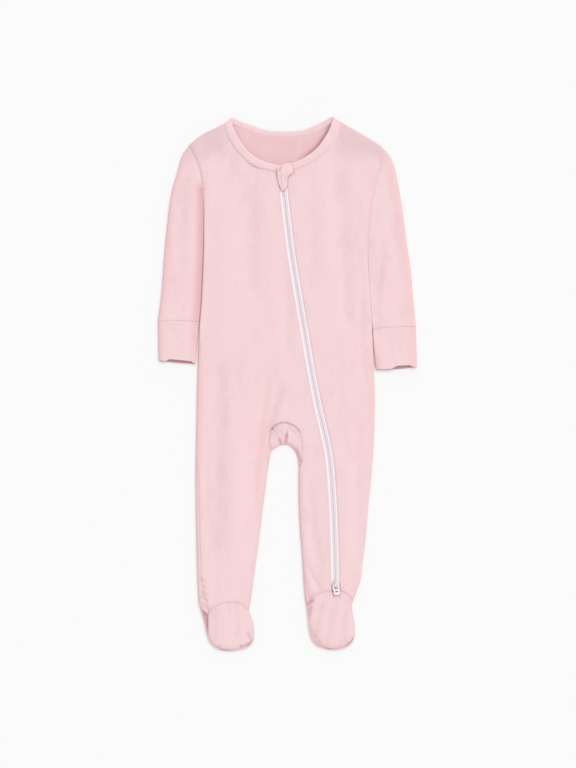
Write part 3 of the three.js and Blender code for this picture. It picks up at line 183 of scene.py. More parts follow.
# Where the crotch pulls the cloth tight into troughs; a stronger pink is painted along them as their warm
# shade
PULLS = [Crease(*row) for row in (
    (-27.3, -8, -34.5, -71, 5, 0.7), (-34.5, -71, -40.5, -122, 5, 0.6), (-24, -112, -33, -170, 4, 0.4),
)]
# Small creases that run into seams; the finish paints shade into them
PUCKERS = [Crease(*row) for row in (
    (-0.3, -61, -1.6, -69, 1.2, 0.8, 2.5), (-1.3, -68, -3.1, -80, 1.7, 1.9, 3),
    (1.8, -64, 0.2, -80, 1.5, -0.8, 2.5), (-10.4, -74, -8.7, -79.3, 1.4, 1.8, 2.5),
    (-19, -59, -13.5, -66, 1.2, 0.7, 2.5), (-15, -56.5, -11.5, -62, 1, 0.5, 2),
    (-20, -66, -12, -71.5, 1.3, 0.5, 3), (-7.8, -53, -7.4, -66, 1.1, 0.5, 3),
    (1.6, -55, 5, -62, 1.2, 0.7, 2.5), (7, -57, 9, -64, 1.1, 0.5, 2.5),
    (11.5, -87, 16.5, -101, 2.2, 1.5, 3), (-21.5, -82, -19, -87, 1.2, 0.7, 2),
    (-24, -100, -21, -112, 2, 0.5, 5), (-65.9, -290.5, -64.4, -324, 3, 0.22, 6),
    (-76, -288, -75.5, -296, 2, 0.35, 3), (-112.5, -254.6, -107.5, -257, 1.2, 0.8, 2),
    (-111.5, -262.6, -106.5, -265, 1.2, 0.9, 2), (-111.8, -270, -106, -273.5, 1.2, 0.9, 2),
    (-111, -278, -105.5, -281.5, 1.3, 0.9, 2), (-109.5, -287, -105, -291.5, 1.3, 0.8, 2),
    (-99.5, -296, -96, -302, 1.6, 0.5, 3), (-61.1, -342.3, -50.3, -338.3, 1.7, 1.3, 2),
    (-60.1, -339.3, -51.3, -335.3, 2, -0.6, 2), (-51.6, -324.7, -46.4, -337.1, 1.8, 0.9, 2),
    (-92, -299, -95, -328, 4, 0.3, 6), (-78, -310, -80, -335, 5, -0.3, 6),
    (29.2, -242.5, 41.9, -263.6, 3.4, 0.5, 6), (25.2, -246.5, 33.9, -269.6, 3.4, -0.7, 6),
    (23.5, -255, 28, -276, 2.2, 0.5, 5), (32, -282.5, 26.5, -288.6, 1.9, 1.7, 2),
    (31.2, -291.3, 27.6, -294.5, 1.6, 1.7, 1.5), (29.4, -297.5, 28.2, -302.5, 1.5, 1.3, 2),
    # The first two entries here and the first on the next line sit round the pull tab: small dents that carry
    # its painted shadow
    (57.9, -263, 60, -275.5, 1.3, 1.1, 1.2), (60.9, -277.5, 68, -276.3, 1.3, 1.2, 1.2),
    (67.5, -262, 69.5, -274, 1.2, 0.6, 1.2), (45, -288, 37, -328, 4, 0.35, 6),
    (60, -296, 52, -338, 5, 0.3, 6), (75, -300, 73, -332, 5, 0.25, 6),
    (33.5, -272, 29.5, -281.5, 1.6, 0.7, 3), (38, -281, 31, -290, 2, -0.5, 3),
    (32.6, -323, 43.3, -338.7, 1.8, 0.6, 3), (75, -341.3, 86.3, -333.5, 1.8, 0.5, 3),
    (-8, -8, -22, -60, 5, 0.35, 10),
)]

# Creases of the guard over the zip; painted shade follows them
GUARD_CREASES = [Crease(*row) for row in (
    (-6.5, 284.3, -11, 276.3, 1, 1.3, 2), (-14, 277.5, -8.5, 283.5, 1.3, -0.6, 2),
    (-9.5, 275, -7.6, 256, 1, 0.45, 3), (2, 284, 2.6, 270, 1.6, -0.5, 3),
    (-2.5, 279, -3, 268, 0.9, 0.35, 3), (6.5, 283, 7.5, 276, 0.8, 0.6, 1),
)]

CLOTH = 1.0  # thickness of the jersey, in millimetres as all sizes below
SEAM_GAP = 0.07  # space between two panels at their seam
ARCH_GAP = 0.08  # the same round the arch of the gusset
ANKLE_SEAM_GAP = 0.12  # the same at the seams over the feet
HEEL_SEAM_GAP = 0.35  # the same at the seams over the heels
BAND_OVERLAP = 0.5  # how far the neckband reaches over the panels
ZIP_OPENING = 5.0  # from the zip's middle to the edge of the cloth
UNDERARM_Y = 252.0  # lowest point of the armholes
ANKLE_ROW_Y = -256.0  # last straight row of the front panels
ANKLE_Y = -284.0  # where legs and feet meet at the sides
RIGHT_UNDERARM = (170, 251)  # heights where the right sleeve is sewn to the side of the body
ANKLE_GROOVE = (0.5, 1.2, 0.3, 5)  # depth, width, pucker and reach of the seams over the feet
APEX = (ARCH["left"][0], ARCH["y"][0])  # top of the gusset's arch
CENTRE_TOP = (-20.5, 275.0)  # where the middle line of the front meets the neck
ZIP_TOP_LEFT_X, ZIP_TOP_RIGHT_X = -11.4, -0.8  # where the opening meets the neck
SEAM_END = 0.3  # from the end of a seam over a foot to the corner of the panel
WRAP_START = 0.2  # the back shows on the front where it comes round further than this
TURN_SHARES = np.array([0, 0.06, 0.14, 0.26, 0.42, 0.6, 0.8, 0.93, 1])  # points across the part that turns
EDGE_STEPS = np.array([0, 0.4, 0.9, 1.6, 2.6, 4.0, 6.0])  # places of points beside a rounded edge


# Flat pattern helpers


def even(count: int) -> Array:
    """Evenly spaced shares from 0 to 1."""
    return np.linspace(0, 1, count)


def smooth_line(points: Sequence, steps: int = 24) -> Array:
    """Fine polyline on a centripetal curve through a few points.

    Args:
        points: Corners of the curve, each with two or three coordinates.
        steps: Number of parts between two corners.

    Returns:
        The points of the polyline, one a row.
    """
    p = np.asarray(points, float)
    p = np.vstack([2 * p[0] - p[1], p, 2 * p[-1] - p[-2]])
    t = np.linspace(0, 1, steps, endpoint=False)[:, None]
    parts = []
    for a, b, c, d in zip(p[:-3], p[1:-2], p[2:-1], p[3:]):
        d0, d1, d2 = (max(np.linalg.norm(v) ** 0.5, 1e-4) for v in (b - a, c - b, d - c))
        m1 = ((b - a) / d0 - (c - a) / (d0 + d1) + (c - b) / d1) * d1
        m2 = ((c - b) / d1 - (d - b) / (d1 + d2) + (d - c) / d2) * d1
        parts.append(b + m1 * t + (3 * (c - b) - 2 * m1 - m2) * t**2 + (2 * (b - c) + m1 + m2) * t**3)
    return np.vstack([*parts, p[-2][None]])


def shares_of(line: Array) -> Array:
    """How far along a polyline each of its points lies, from 0 to 1."""
    lengths = np.concatenate([[0], np.cumsum(np.linalg.norm(np.diff(line, axis=0), axis=1))])
    return lengths / lengths[-1]


def length_of(line: Array) -> float:
    """Length of a polyline."""
    return float(np.linalg.norm(np.diff(line, axis=0), axis=1).sum())


def along(line: Array, shares: Array) -> Array:
    """Points of a polyline at given shares of its length."""
    own = shares_of(line)
    return np.stack([np.interp(shares, own, line[:, k]) for k in range(line.shape[1])], 1)


def sample(points: Sequence, shares: Array) -> Array:
    """Points of the smooth curve through some corners, at given shares of its length."""
    return along(smooth_line(points), np.asarray(shares, float))


def offset(line: Array, distance: float) -> Array:
    """A line moved sideways; positive is to the right of its direction."""
    step = np.gradient(line, axis=0)
    step /= np.linalg.norm(step, axis=1)[:, None]
    return line + distance * np.stack([step[:, 1], -step[:, 0]], 1)


def straight(start: Array, end: Array, shares: Array) -> Array:
    """Points on a straight line at given shares."""
    return start + np.asarray(shares)[:, None] * (np.asarray(end) - start)


def fill(bottom: Array, top: Array, left: Array, right: Array) -> Array:
    """Grid of points between four edges.

    Args:
        bottom: Lower edge from left to right.
        top: Upper edge from left to right.
        left: Left edge from the bottom up.
        right: Right edge from the bottom up.

    Returns:
        Array of rows, columns and coordinates.
    """
    u = (shares_of(bottom) + shares_of(top))[None, :, None] / 2
    v = (shares_of(left) + shares_of(right))[:, None, None] / 2
    sides = (1 - v) * bottom[None] + v * top[None] + (1 - u) * left[:, None] + u * right[:, None]
    corners = ((1 - u) * (1 - v) * bottom[0] + u * (1 - v) * bottom[-1]
               + (1 - u) * v * top[0] + u * v * top[-1])
    return sides - corners


def graded(length: float, step: float, low: int = 7, high: int = 7) -> Array:
    """Shares of an edge that lie close together at its rounded ends.

    Args:
        length: Length of the edge.
        step: Distance between points in the middle.
        low: Number of close points at the start.
        high: Number of close points at the end.

    Returns:
        Shares from 0 to 1.
    """
    start, end = EDGE_STEPS[:low], length - EDGE_STEPS[:high][::-1]
    count = max(round((end[0] - start[-1]) / step), 1)
    middle = np.linspace(start[-1], end[0], count + 1)[1:-1]
    return np.concatenate([start, middle, end]) / length


def column(table: dict, key: str) -> Callable:
    """Smooth curve through one column of a table, as a function of y."""
    order = np.argsort(table["y"])
    y = np.asarray(table["y"], float)[order]
    value = np.asarray(table[key], float)[order]
    before = np.maximum(np.arange(len(y)) - 1, 0)
    after = np.minimum(np.arange(len(y)) + 1, len(y) - 1)
    slope = (value[after] - value[before]) / (y[after] - y[before])

    def at(where: Array) -> Array:
        """Value of the column at some heights."""
        where = np.asarray(where, float)
        i = np.clip(np.searchsorted(y, where, side="left") - 1, 0, len(y) - 2)
        step = y[i + 1] - y[i]
        t = (where - y[i]) / step
        return ((2 * t**3 - 3 * t**2 + 1) * value[i] + (t**3 - 2 * t**2 + t) * step * slope[i]
                + (3 * t**2 - 2 * t**3) * value[i + 1] + (t**3 - t**2) * step * slope[i + 1])

    return at


def smoothstep(x: Array, low: float, high: float) -> Array:
    """Smooth step from 0 at low to 1 at high."""
    t = np.clip((x - low) / (high - low), 0, 1)
    return t * t * (3 - 2 * t)


left_side = column(SECTIONS, "left")
right_side = column(SECTIONS, "right")
zip_line = column(SECTIONS, "zip")
inner_left = column(INNER_LEGS, "left")
inner_right = column(INNER_LEGS, "right")
arch_left = column(ARCH, "left")
arch_right = column(ARCH, "right")
wrap_column = column(SECTIONS, "wrap")


def wrap_width(y: Array) -> Array:
    """How far the back comes round onto the front at the left."""
    return np.maximum(wrap_column(y), 0)


def centre_line(y: Array) -> Array:
    """Line up the middle of the front, from the apex of the gusset to the neck."""
    return APEX[0] + (CENTRE_TOP[0] - APEX[0]) * (np.asarray(y, float) - APEX[1]) / (CENTRE_TOP[1] - APEX[1])


def inner_edge_left(y: Array) -> Array:
    """Right-hand edge of the strip with the left leg."""
    y = np.asarray(y, float)
    low = np.where(y >= -88.2, arch_left(y), inner_left(y))
    return np.where(y > APEX[1], centre_line(y), low)


def inner_edge_right(y: Array) -> Array:
    """Left-hand edge of the strips with the right leg."""
    y = np.asarray(y, float)
    low = np.where(y >= -106.6, arch_right(y), inner_right(y))
    return np.where(y > APEX[1], centre_line(y), low)


def seamed_left(y: Array) -> Array:
    """Left edge of the front, at the side or at its seam to the back."""
    wrap = wrap_width(y)
    return left_side(y) + np.where(wrap > WRAP_START, wrap + SEAM_GAP, 0)


def wrap_edge(y: Array) -> Array:
    """Edge of the part of the back that comes round onto the front at the left."""
    y = np.asarray(y, float)
    foot_x, foot_y = LEFT_FOOT["seam"][0]
    low = np.clip((ANKLE_ROW_Y - y) / (ANKLE_ROW_Y - foot_y), 0, 1)
    at_foot = foot_x + SEAM_END - SEAM_GAP - left_side(foot_y) - wrap_width(foot_y)
    return left_side(y) + wrap_width(y) + low * at_foot


def left_of_zip(y: Array) -> Array:
    """Edge of the cloth left of the zip."""
    return zip_line(y) - ZIP_OPENING


def right_of_zip(y: Array) -> Array:
    """Edge of the cloth right of the zip."""
    return zip_line(y) + ZIP_OPENING


def edge_along_y(edge: Callable, start: float, end: float, step: float = 3) -> Array:
    """Polyline on an edge between two heights of the pattern."""
    y = np.linspace(start, end, max(round(abs(end - start) / step), 1) + 1)
    return np.stack([edge(y), y], 1)


@dataclass
class Outline:
    """Outlines or seams cut into segments, for distances to them."""

    lines: Sequence[Array]

    def __post_init__(self) -> None:
        """Keeps the segments of the lines, with how far along its line each starts."""
        lines = self.lines
        self.start = np.vstack([line[:-1] for line in lines])
        self.step = np.vstack([np.diff(line, axis=0) for line in lines])
        self.length2 = np.maximum((self.step**2).sum(1), 1e-12)
        lengths = [np.linalg.norm(np.diff(line, axis=0), axis=1) for line in lines]
        self.before = np.concatenate([np.cumsum(n) - n + 1000 * i for i, n in enumerate(lengths)])

    def nearest(self, xy: Array) -> tuple[Array, Array, Array]:
        """Nearest place on the lines.

        Args:
            xy: Points, one a row.

        Returns:
            Distance, direction out of the cloth and place along the line, for each point.
        """
        distance, out, place = (np.empty(len(xy)), np.empty((len(xy), 2)), np.empty(len(xy)))
        length = np.sqrt(self.length2)
        for first in range(0, len(xy), 2500):
            p = xy[first:first + 2500]
            dx = p[:, None, 0] - self.start[None, :, 0]
            dy = p[:, None, 1] - self.start[None, :, 1]
            t = np.clip((dx * self.step[:, 0] + dy * self.step[:, 1]) / self.length2, 0, 1)
            to_x, to_y = t * self.step[:, 0] - dx, t * self.step[:, 1] - dy
            square = to_x**2 + to_y**2
            k = square.argmin(1)
            rows = np.arange(len(p))
            d = np.sqrt(square[rows, k])
            towards = np.stack([to_x[rows, k], to_y[rows, k]], 1) / np.maximum(d, 1e-9)[:, None]
            across = np.stack([self.step[k, 1], -self.step[k, 0]], 1) / length[k][:, None]
            share = smoothstep(d, 0.15, 0.45)[:, None]
            mixed = np.where(((towards * across).sum(1) > 0)[:, None],
                             share * towards + (1 - share) * across, across)
            mixed = np.where(d[:, None] > 0.45, towards, mixed)
            out[first:first + 2500] = mixed / np.maximum(np.linalg.norm(mixed, axis=1), 1e-9)[:, None]
            distance[first:first + 2500] = np.where(d < 0.08, 0, d)
            place[first:first + 2500] = self.before[k] + t[rows, k] * length[k]
        return distance, out, place


@dataclass(frozen=True)
class Seam:
    """A sewn line: how deep and wide its groove is and how much the cloth puckers along it."""

    line: Array
    depth: float = 0.8
    width: float = 1.3
    pucker: float = 0.15
    reach: float = 5.0


@dataclass
class Lay:
    """Places flat pattern points on the garment that lies on the floor."""

    lines: Sequence[Array]  # rounded edges, each with the cloth on its left
    seams: Sequence[Seam] = ()  # sewn lines that the cloth dips along
    split: float = 0.07  # half the gap between front and back at an edge
    drop: float = 0.0  # how far this layer lies below the front
    thickness: float = CLOTH
    gather: float = 0.0  # depth of the small gathers along a rounded edge
    near_roll: float = 1.6  # how far in the front rounds off where body and sleeve lie side by side
    painted_hollow_shade: float = 0.0  # painted shade where the cloth turns down towards +X beside the body
    height_at_edge: float = 5.0
    rise: float = 0.9  # how much higher the middle lies
    rise_length: float = 22.0
    front_roll: float = 6.0  # how far in the front rounds off
    back_roll: float = 3.0
    painted_pink_reach: float = 8.5  # how far in the painted pink of the rounded edges reaches
    relief: float = 1.7  # how much deeper the folds of the cloth are than those of the solids

    def __post_init__(self) -> None:
        """Prepares distances to the rounded edges and to the seams, and the slow waves of the cloth."""
        self.outline = Outline(self.lines)
        self.grooves = [(seam, Outline([seam.line])) for seam in self.seams]
        rng = np.random.default_rng(11)
        count = 14
        angle = rng.uniform(-0.5, 0.5, count)
        wavelength = rng.uniform(26, 95, count)
        self.waves = np.stack([np.cos(angle) / wavelength, np.sin(angle) / wavelength * 0.6], 1) * 2 * math.pi
        self.phase = rng.uniform(0, 2 * math.pi, count)
        self.swell = 0.055 * (wavelength / 60)

    @staticmethod
    def foot_share(y: Array) -> Array:
        """0 on the legs, 1 on the feet."""
        return smoothstep(-y, 284, 312)

    def seam_height(self, xy: Array) -> Array:
        """Height where front and back meet at the edge; higher where a sleeve lies close to the body."""
        x, y = xy[:, 0], xy[:, 1]
        joined = smoothstep(x, 96, 101) * (1 - smoothstep(x, 119, 124)) * smoothstep(y, 36, 84) * (
            1 - smoothstep(y, 190, 240))
        joined += smoothstep(-x, 98, 103) * (1 - smoothstep(-x, 116, 121)) * smoothstep(y, 190, 250)
        return 2.5 + 0.9 * self.foot_share(y) + 1.7 * joined

    @staticmethod
    def creased(xy: Array, creases: Sequence[Crease]) -> Array:
        """Depth of some creases at each point."""
        depth = np.zeros(len(xy))
        for c in creases:
            length = math.hypot(c.x2 - c.x1, c.y2 - c.y1)
            ux, uy = (c.x2 - c.x1) / length, (c.y2 - c.y1) / length
            dx, dy = xy[:, 0] - c.x1, xy[:, 1] - c.y1
            run, across = dx * ux + dy * uy, dx * uy - dy * ux
            past = np.maximum(np.maximum(-run, run - length), 0)
            depth += c.depth * np.exp(-((across / c.width) ** 2) - (past / c.fade) ** 2)
        return depth

    def sewn(self, xy: Array) -> Array:
        """Depth of the seam grooves and their puckers at each point."""
        depth = np.zeros(len(xy))
        for seam, outline in self.grooves:
            distance, _, place = outline.nearest(xy)
            wave = (np.sin(place * 0.93 + 0.7) + 0.7 * np.sin(place * 1.51 + 2.1)) * (
                0.55 + 0.45 * np.sin(place * 0.17 + 0.4))
            near = distance < 4 * seam.reach
            groove = seam.depth * np.exp(-((distance / seam.width) ** 2))
            ripple = seam.pucker * wave * np.exp(-((distance / seam.reach) ** 2))
            ripple *= smoothstep(distance, 0, 1.5)
            depth += np.where(near, groove + ripple, 0)
        return depth

    def height(self, xy: Array, distance: Array) -> Array:
        """Height of the front's outer face well inside its edge, without seams."""
        foot = self.foot_share(xy[:, 1])
        calm = smoothstep(distance, 2, 16)
        waves = (np.sin(xy @ self.waves.T + self.phase) * self.swell).sum(1)
        rise = self.rise * (1 - np.exp(-distance / self.rise_length))
        folds = self.relief * self.creased(xy, FOLDS + PULLS) * calm * (1 - foot)
        puckers = self.creased(xy, PUCKERS) * smoothstep(distance, 0, 2.5)
        return self.height_at_edge + rise + 0.5 * foot + waves * calm - folds - puckers

    def _roll(self, xy: Array) -> Array:
        """How far in the front rounds off at each point."""
        x, y = np.abs(xy[:, 0]), xy[:, 1]
        together = smoothstep(y, 30, 60) * (1 - smoothstep(y, 238, 262)) * (1 - smoothstep(x, 119, 126))
        return self.front_roll + (self.near_roll - self.front_roll) * together

    def _wall(self, xy: Array, z: Array, out: Array, level: Array,
              up: Array) -> tuple[Array, Array]:
        """Outer and inner points of the wall, whose normal leans out by level and up by up."""
        outer = np.column_stack([xy, z])
        normal = np.column_stack([out * level[:, None], up])
        return outer, outer - self.thickness * normal

    def front(self, grid: Array) -> tuple[Array, Array, Array]:
        """Outer points, inner points and painted light of the front layer over a grid of pattern points."""
        xy = grid.reshape(-1, 2)
        distance, out, place = self.outline.nearest(xy)
        level = 1 - np.minimum(distance / self._roll(xy), 1)
        up = np.sqrt(1 - level**2)
        low = self.seam_height(xy) + self.split
        pinch = np.sin(place * 0.62) + 0.8 * np.sin(place * 1.07 + 1.3) + 0.5 * np.sin(place * 1.9 + 0.6)
        toe = self.gather * smoothstep(-xy[:, 1], 318, 336) * np.exp(-(((distance - 2.0) / 3.4) ** 2))
        sewn = self.sewn(xy) + toe * pinch
        z = low + (self.height(xy, distance) - low) * up - self.drop - sewn * up
        outer, inner = self._wall(xy, z, out, level, up)
        painted_light = self._painted_light(xy, distance, sewn)
        # Painted shade with stronger painted pink where the cloth turns down beside the body
        turn_shade_mask = np.exp(-((distance / 8.0) ** 2)) * smoothstep(out[:, 0], 0.1, 0.6)
        turn_shade_mask *= smoothstep(xy[:, 1], 20, 120)
        painted_light += self.painted_hollow_shade * turn_shade_mask[:, None] * [0, 1.8, 1.5]
        return tuple(part.reshape(*grid.shape[:-1], 3) for part in (outer, inner, painted_light))

    def _painted_light(self, xy: Array, distance: Array, sewn: Array) -> Array:
        """Painted light for the finish: painted shade by the depth of folds and puckers, at the shoulders and
        along the edges low down; painted pink of the rounded edges and pulls; painted shade by closeness to
        seams.
        """
        x, y = xy.T
        low = smoothstep(-y, 40, 170)
        shoulder = smoothstep(y, 276, 312) * smoothstep(np.abs(x + 7), 58, 84)
        puckers = self.creased(xy, PUCKERS)
        folds = self.creased(xy, FOLDS) * smoothstep(distance, 0, 10) + 1.8 * puckers + 2.3 * shoulder
        foot = self.foot_share(y)
        folds += 0.8 * low * (1 - 0.6 * foot) * np.exp(-((distance / 5) ** 2))
        painted_pink = np.exp(-((distance / self.painted_pink_reach) ** 2)) * (1 - 0.65 * low) * (1 - 0.9 * shoulder)
        painted_pink *= 1 - 0.6 * foot
        beside = smoothstep(y, 30, 70) * (1 - smoothstep(np.abs(x), 117, 124))
        painted_pink *= 1 - 0.85 * beside
        painted_pink += 0.8 * self.creased(xy, PULLS)
        return np.column_stack([folds, painted_pink, np.clip(sewn, 0, 1.5) + np.clip(puckers, 0, 1.4)])

    def back(self, grid: Array) -> tuple[Array, Array, Array]:
        """Outer points, inner points and painted light of the back layer, which rests on the floor."""
        xy = grid.reshape(-1, 2)
        distance, out, _ = self.outline.nearest(xy)
        level = 1 - np.minimum(distance / self.back_roll, 1)
        down = np.sqrt(1 - level**2)
        z = (self.seam_height(xy) - self.split) * (1 - down)
        outer, inner = self._wall(xy, z, out, level, -down)
        painted_pink = np.exp(-((distance / self.painted_pink_reach) ** 2))
        painted_light = np.column_stack([np.zeros(len(xy)), painted_pink, np.zeros(len(xy))])
        return tuple(part.reshape(*grid.shape[:-1], 3) for part in (outer, inner, painted_light))

    def rim(self, line: Array) -> tuple[Array, Array]:
        """Outer and inner points on the rounded edge itself."""
        _, out, _ = self.outline.nearest(line)
        z = self.seam_height(line) - self.split
        return self._wall(line, z, out, np.ones(len(line)), np.zeros(len(line)))

    def on_front(self, line: Array, lift: float = 0.0) -> Array:
        """A line of points on the front's outer face, lifted a little."""
        return self.front(line[None])[0][0] + np.array([0, 0, lift])


# Meshes


def add_object(name: str, data: ID) -> Object:
    """Adds an object with a mesh, a curve, a light or a camera to the scene."""
    obj = bpy.data.objects.new(name, data)
    bpy.context.scene.collection.objects.link(obj)
    return obj


def make_object(name: str, points: Array, faces: Sequence, material: Material,
                smooth_angle: float = 50) -> Object:
    """Adds a mesh object from points in millimetres.

    Args:
        name: Name of the object.
        points: Points, one a row, in millimetres.
        faces: Corner numbers of each face.
        material: The finish.
        smooth_angle: Edges sharper than this stay sharp, in degrees.

    Returns:
        The object, at the origin.
    """
    mesh = bpy.data.meshes.new(name)
    mesh.from_pydata((np.asarray(points) * MM).tolist(), [], [list(face) for face in faces])
    mesh.validate()
    mesh.shade_smooth()
    mesh.set_sharp_from_angle(angle=math.radians(smooth_angle))
    mesh.materials.append(material)
    return add_object(name, mesh)


def store(obj: Object, name: str, data: Array) -> None:
    """Keeps one vector for each point of a mesh under a name."""
    layer = obj.data.attributes.new(name, "FLOAT_VECTOR", "POINT")
    layer.data.foreach_set("vector", np.asarray(data, np.float32).ravel())


def declare(obj: Object, body: Body, slot: Slot, *nodes: str) -> Object:
    """Tells the frame which body a piece rides on, and hides the solids that it stands for."""
    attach(obj, body.value)
    if nodes:
        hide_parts(*nodes)
    log.info("%s: %d triangles", obj.name, sum(len(p.vertices) - 2 for p in obj.data.polygons))
    return obj


INSIDE_PAINTED_SHADE = (1.0, 0.7, 0.35)  # painted shade, darker and pinker, on the inner faces of the layers that lie face down, such as the inside of the back


@dataclass
class ClothShell:
    """A closed wall of cloth sewn up from grids that share their edges."""

    grain: float = 0.0  # angle of the knit's ribs, in degrees
    patches: list[tuple] = field(default_factory=list)  # faces and the data of the points
    count: int = 0  # of points
    area: float = 0.0  # of the outer faces, in square millimetres

    def patch(self, walls: Sequence[Array], down: bool = False) -> "ClothShell":
        """Adds one grid.

        Args:
            walls: Outer and inner points of the grid, and its painted light.
            down: True where the outer face looks down.

        Returns:
            The shell itself.
        """
        rows, columns = walls[0].shape[:2]
        ids = self.count + np.arange(rows * columns).reshape(rows, columns)
        quads = np.stack([ids[:-1, :-1], ids[:-1, 1:], ids[1:, 1:], ids[1:, :-1]], -1).reshape(-1, 4)
        outer = walls[0]
        a, b, c, d = outer[:-1, :-1], outer[:-1, 1:], outer[1:, 1:], outer[1:, :-1]
        self.area += float(np.linalg.norm(np.cross(c - a, d - b), axis=-1).sum() / 2)
        outer, inner, painted_light = (part.reshape(-1, 3) for part in walls)
        # Painted shade on the inner faces of layers that lie face down
        inside = np.full(outer.shape, INSIDE_PAINTED_SHADE if down else (0, 0, 0))
        grain = math.radians(self.grain)
        cos, sin = math.cos(grain), math.sin(grain)
        x_y, layer = outer[:, :2], np.full(len(outer), float(down))
        weave = np.column_stack([x_y @ [cos, sin], x_y @ [-sin, cos], layer])
        self.patches.append((quads[:, ::-1] if down else quads, outer, inner, weave, painted_light, inside))
        self.count += rows * columns
        return self

    def build(self, name: str, material: Material) -> Object:
        """Joins the grids into one closed mesh with its weave coordinates.

        Args:
            name: Name of the object.
            material: The finish.

        Returns:
            The object.
        """
        quads, outer, inner, weave, painted_light, inside = (np.vstack(parts) for parts in zip(*self.patches))
        keys = np.round(outer * 200).astype(np.int64)
        _, first, merged = np.unique(keys, axis=0, return_index=True, return_inverse=True)
        merged = merged.reshape(-1)
        n = len(first)
        faces = []
        for quad in merged[quads].tolist():
            corners = [v for i, v in enumerate(quad) if v != quad[i - 1]]
            if len(set(corners)) == len(corners) >= 3:
                faces.append(corners)
        edges = {(f[i - 1], f[i]) for f in faces for i in range(len(f))}
        rims = [(a, b) for a, b in edges if (b, a) not in edges]
        faces += [[v + n for v in reversed(f)] for f in faces]
        faces += [[b, a, a + n, b + n] for a, b in rims]
        obj = make_object(name, np.vstack([outer[first], inner[first]]), faces, material)
        store(obj, "weave", np.vstack([weave[first], weave[first] + [0, 0, 2]]))
        store(obj, "painted_light", np.vstack([painted_light[first], painted_light[first] + inside[first]]))
        return obj


def bar(rings: Array) -> tuple[Array, list]:
    """Points and faces of a bar through rings of points, with a flat face at each end.

    Args:
        rings: Array of rings, corners and coordinates.

    Returns:
        Points and faces.
    """
    count, sides = rings.shape[:2]
    faces = []
    for j in range(1, count):
        for i in range(sides):
            a, b = (j - 1) * sides + i, (j - 1) * sides + (i + 1) % sides
            faces.append([a, b, b + sides, a + sides])
    faces.append(list(range(sides))[::-1])
    faces.append([(count - 1) * sides + i for i in range(sides)])
    return rings.reshape(-1, 3), faces


# Finishes


class Tree:
    """A node tree that is built up one node at a time."""

    tree: NodeTree

    def node(self, kind: str, inputs: dict | None = None, **settings: object) -> Node:
        """Adds a node; inputs are values or other nodes' sockets."""
        node = self.tree.nodes.new(kind)
        for key, value in settings.items():
            setattr(node, key, value)
        for key, value in (inputs or {}).items():
            self.feed(node.inputs[key], value)
        return node

    def feed(self, socket: NodeSocket, value: object) -> None:
        """Links a socket or sets its value."""
        if isinstance(value, NodeSocket):
            self.tree.links.new(value, socket)
        else:
            socket.default_value = value

    def math(self, operation: str, a: NodeSocket | float, b: NodeSocket | float = 0.0) -> NodeSocket:
        """Result of one sum."""
        return self.node("ShaderNodeMath", {0: a, 1: b}, operation=operation).outputs[0]


class Shader(Tree):
    """A material's node tree."""

    def __init__(self, name: str) -> None:
        """Makes an empty material with a principled surface."""
        self.material = bpy.data.materials.new(name)
        self.material.use_nodes = True
        self.tree = self.material.node_tree
        self.surface = self.tree.nodes["Principled BSDF"]

    def finish(self, values: dict[str, object]) -> Material:
        """Feeds the surface's inputs and gives the material."""
        for key, value in values.items():
            self.feed(self.surface.inputs[key], value)
        return self.material

    def attribute(self, name: str) -> NodeSocket:
        """Vector that is stored on the mesh under a name."""
        return self.node("ShaderNodeAttribute", attribute_name=name).outputs["Vector"]

    def parts(self, vector: NodeSocket) -> tuple[NodeSocket, NodeSocket, NodeSocket]:
        """X, Y and Z of a vector."""
        return tuple(self.node("ShaderNodeSeparateXYZ", {0: vector}).outputs)

    def mix(self, share: NodeSocket | float, a: NodeSocket | tuple, b: NodeSocket | tuple) -> NodeSocket:
        """Mix of two colours; each is three numbers or a socket."""
        node = self.node("ShaderNodeMix", {0: share}, data_type="RGBA", clamp_factor=True)
        for index, value in ((6, a), (7, b)):
            self.feed(node.inputs[index], (*value, 1) if isinstance(value, tuple) else value)
        return node.outputs[2]


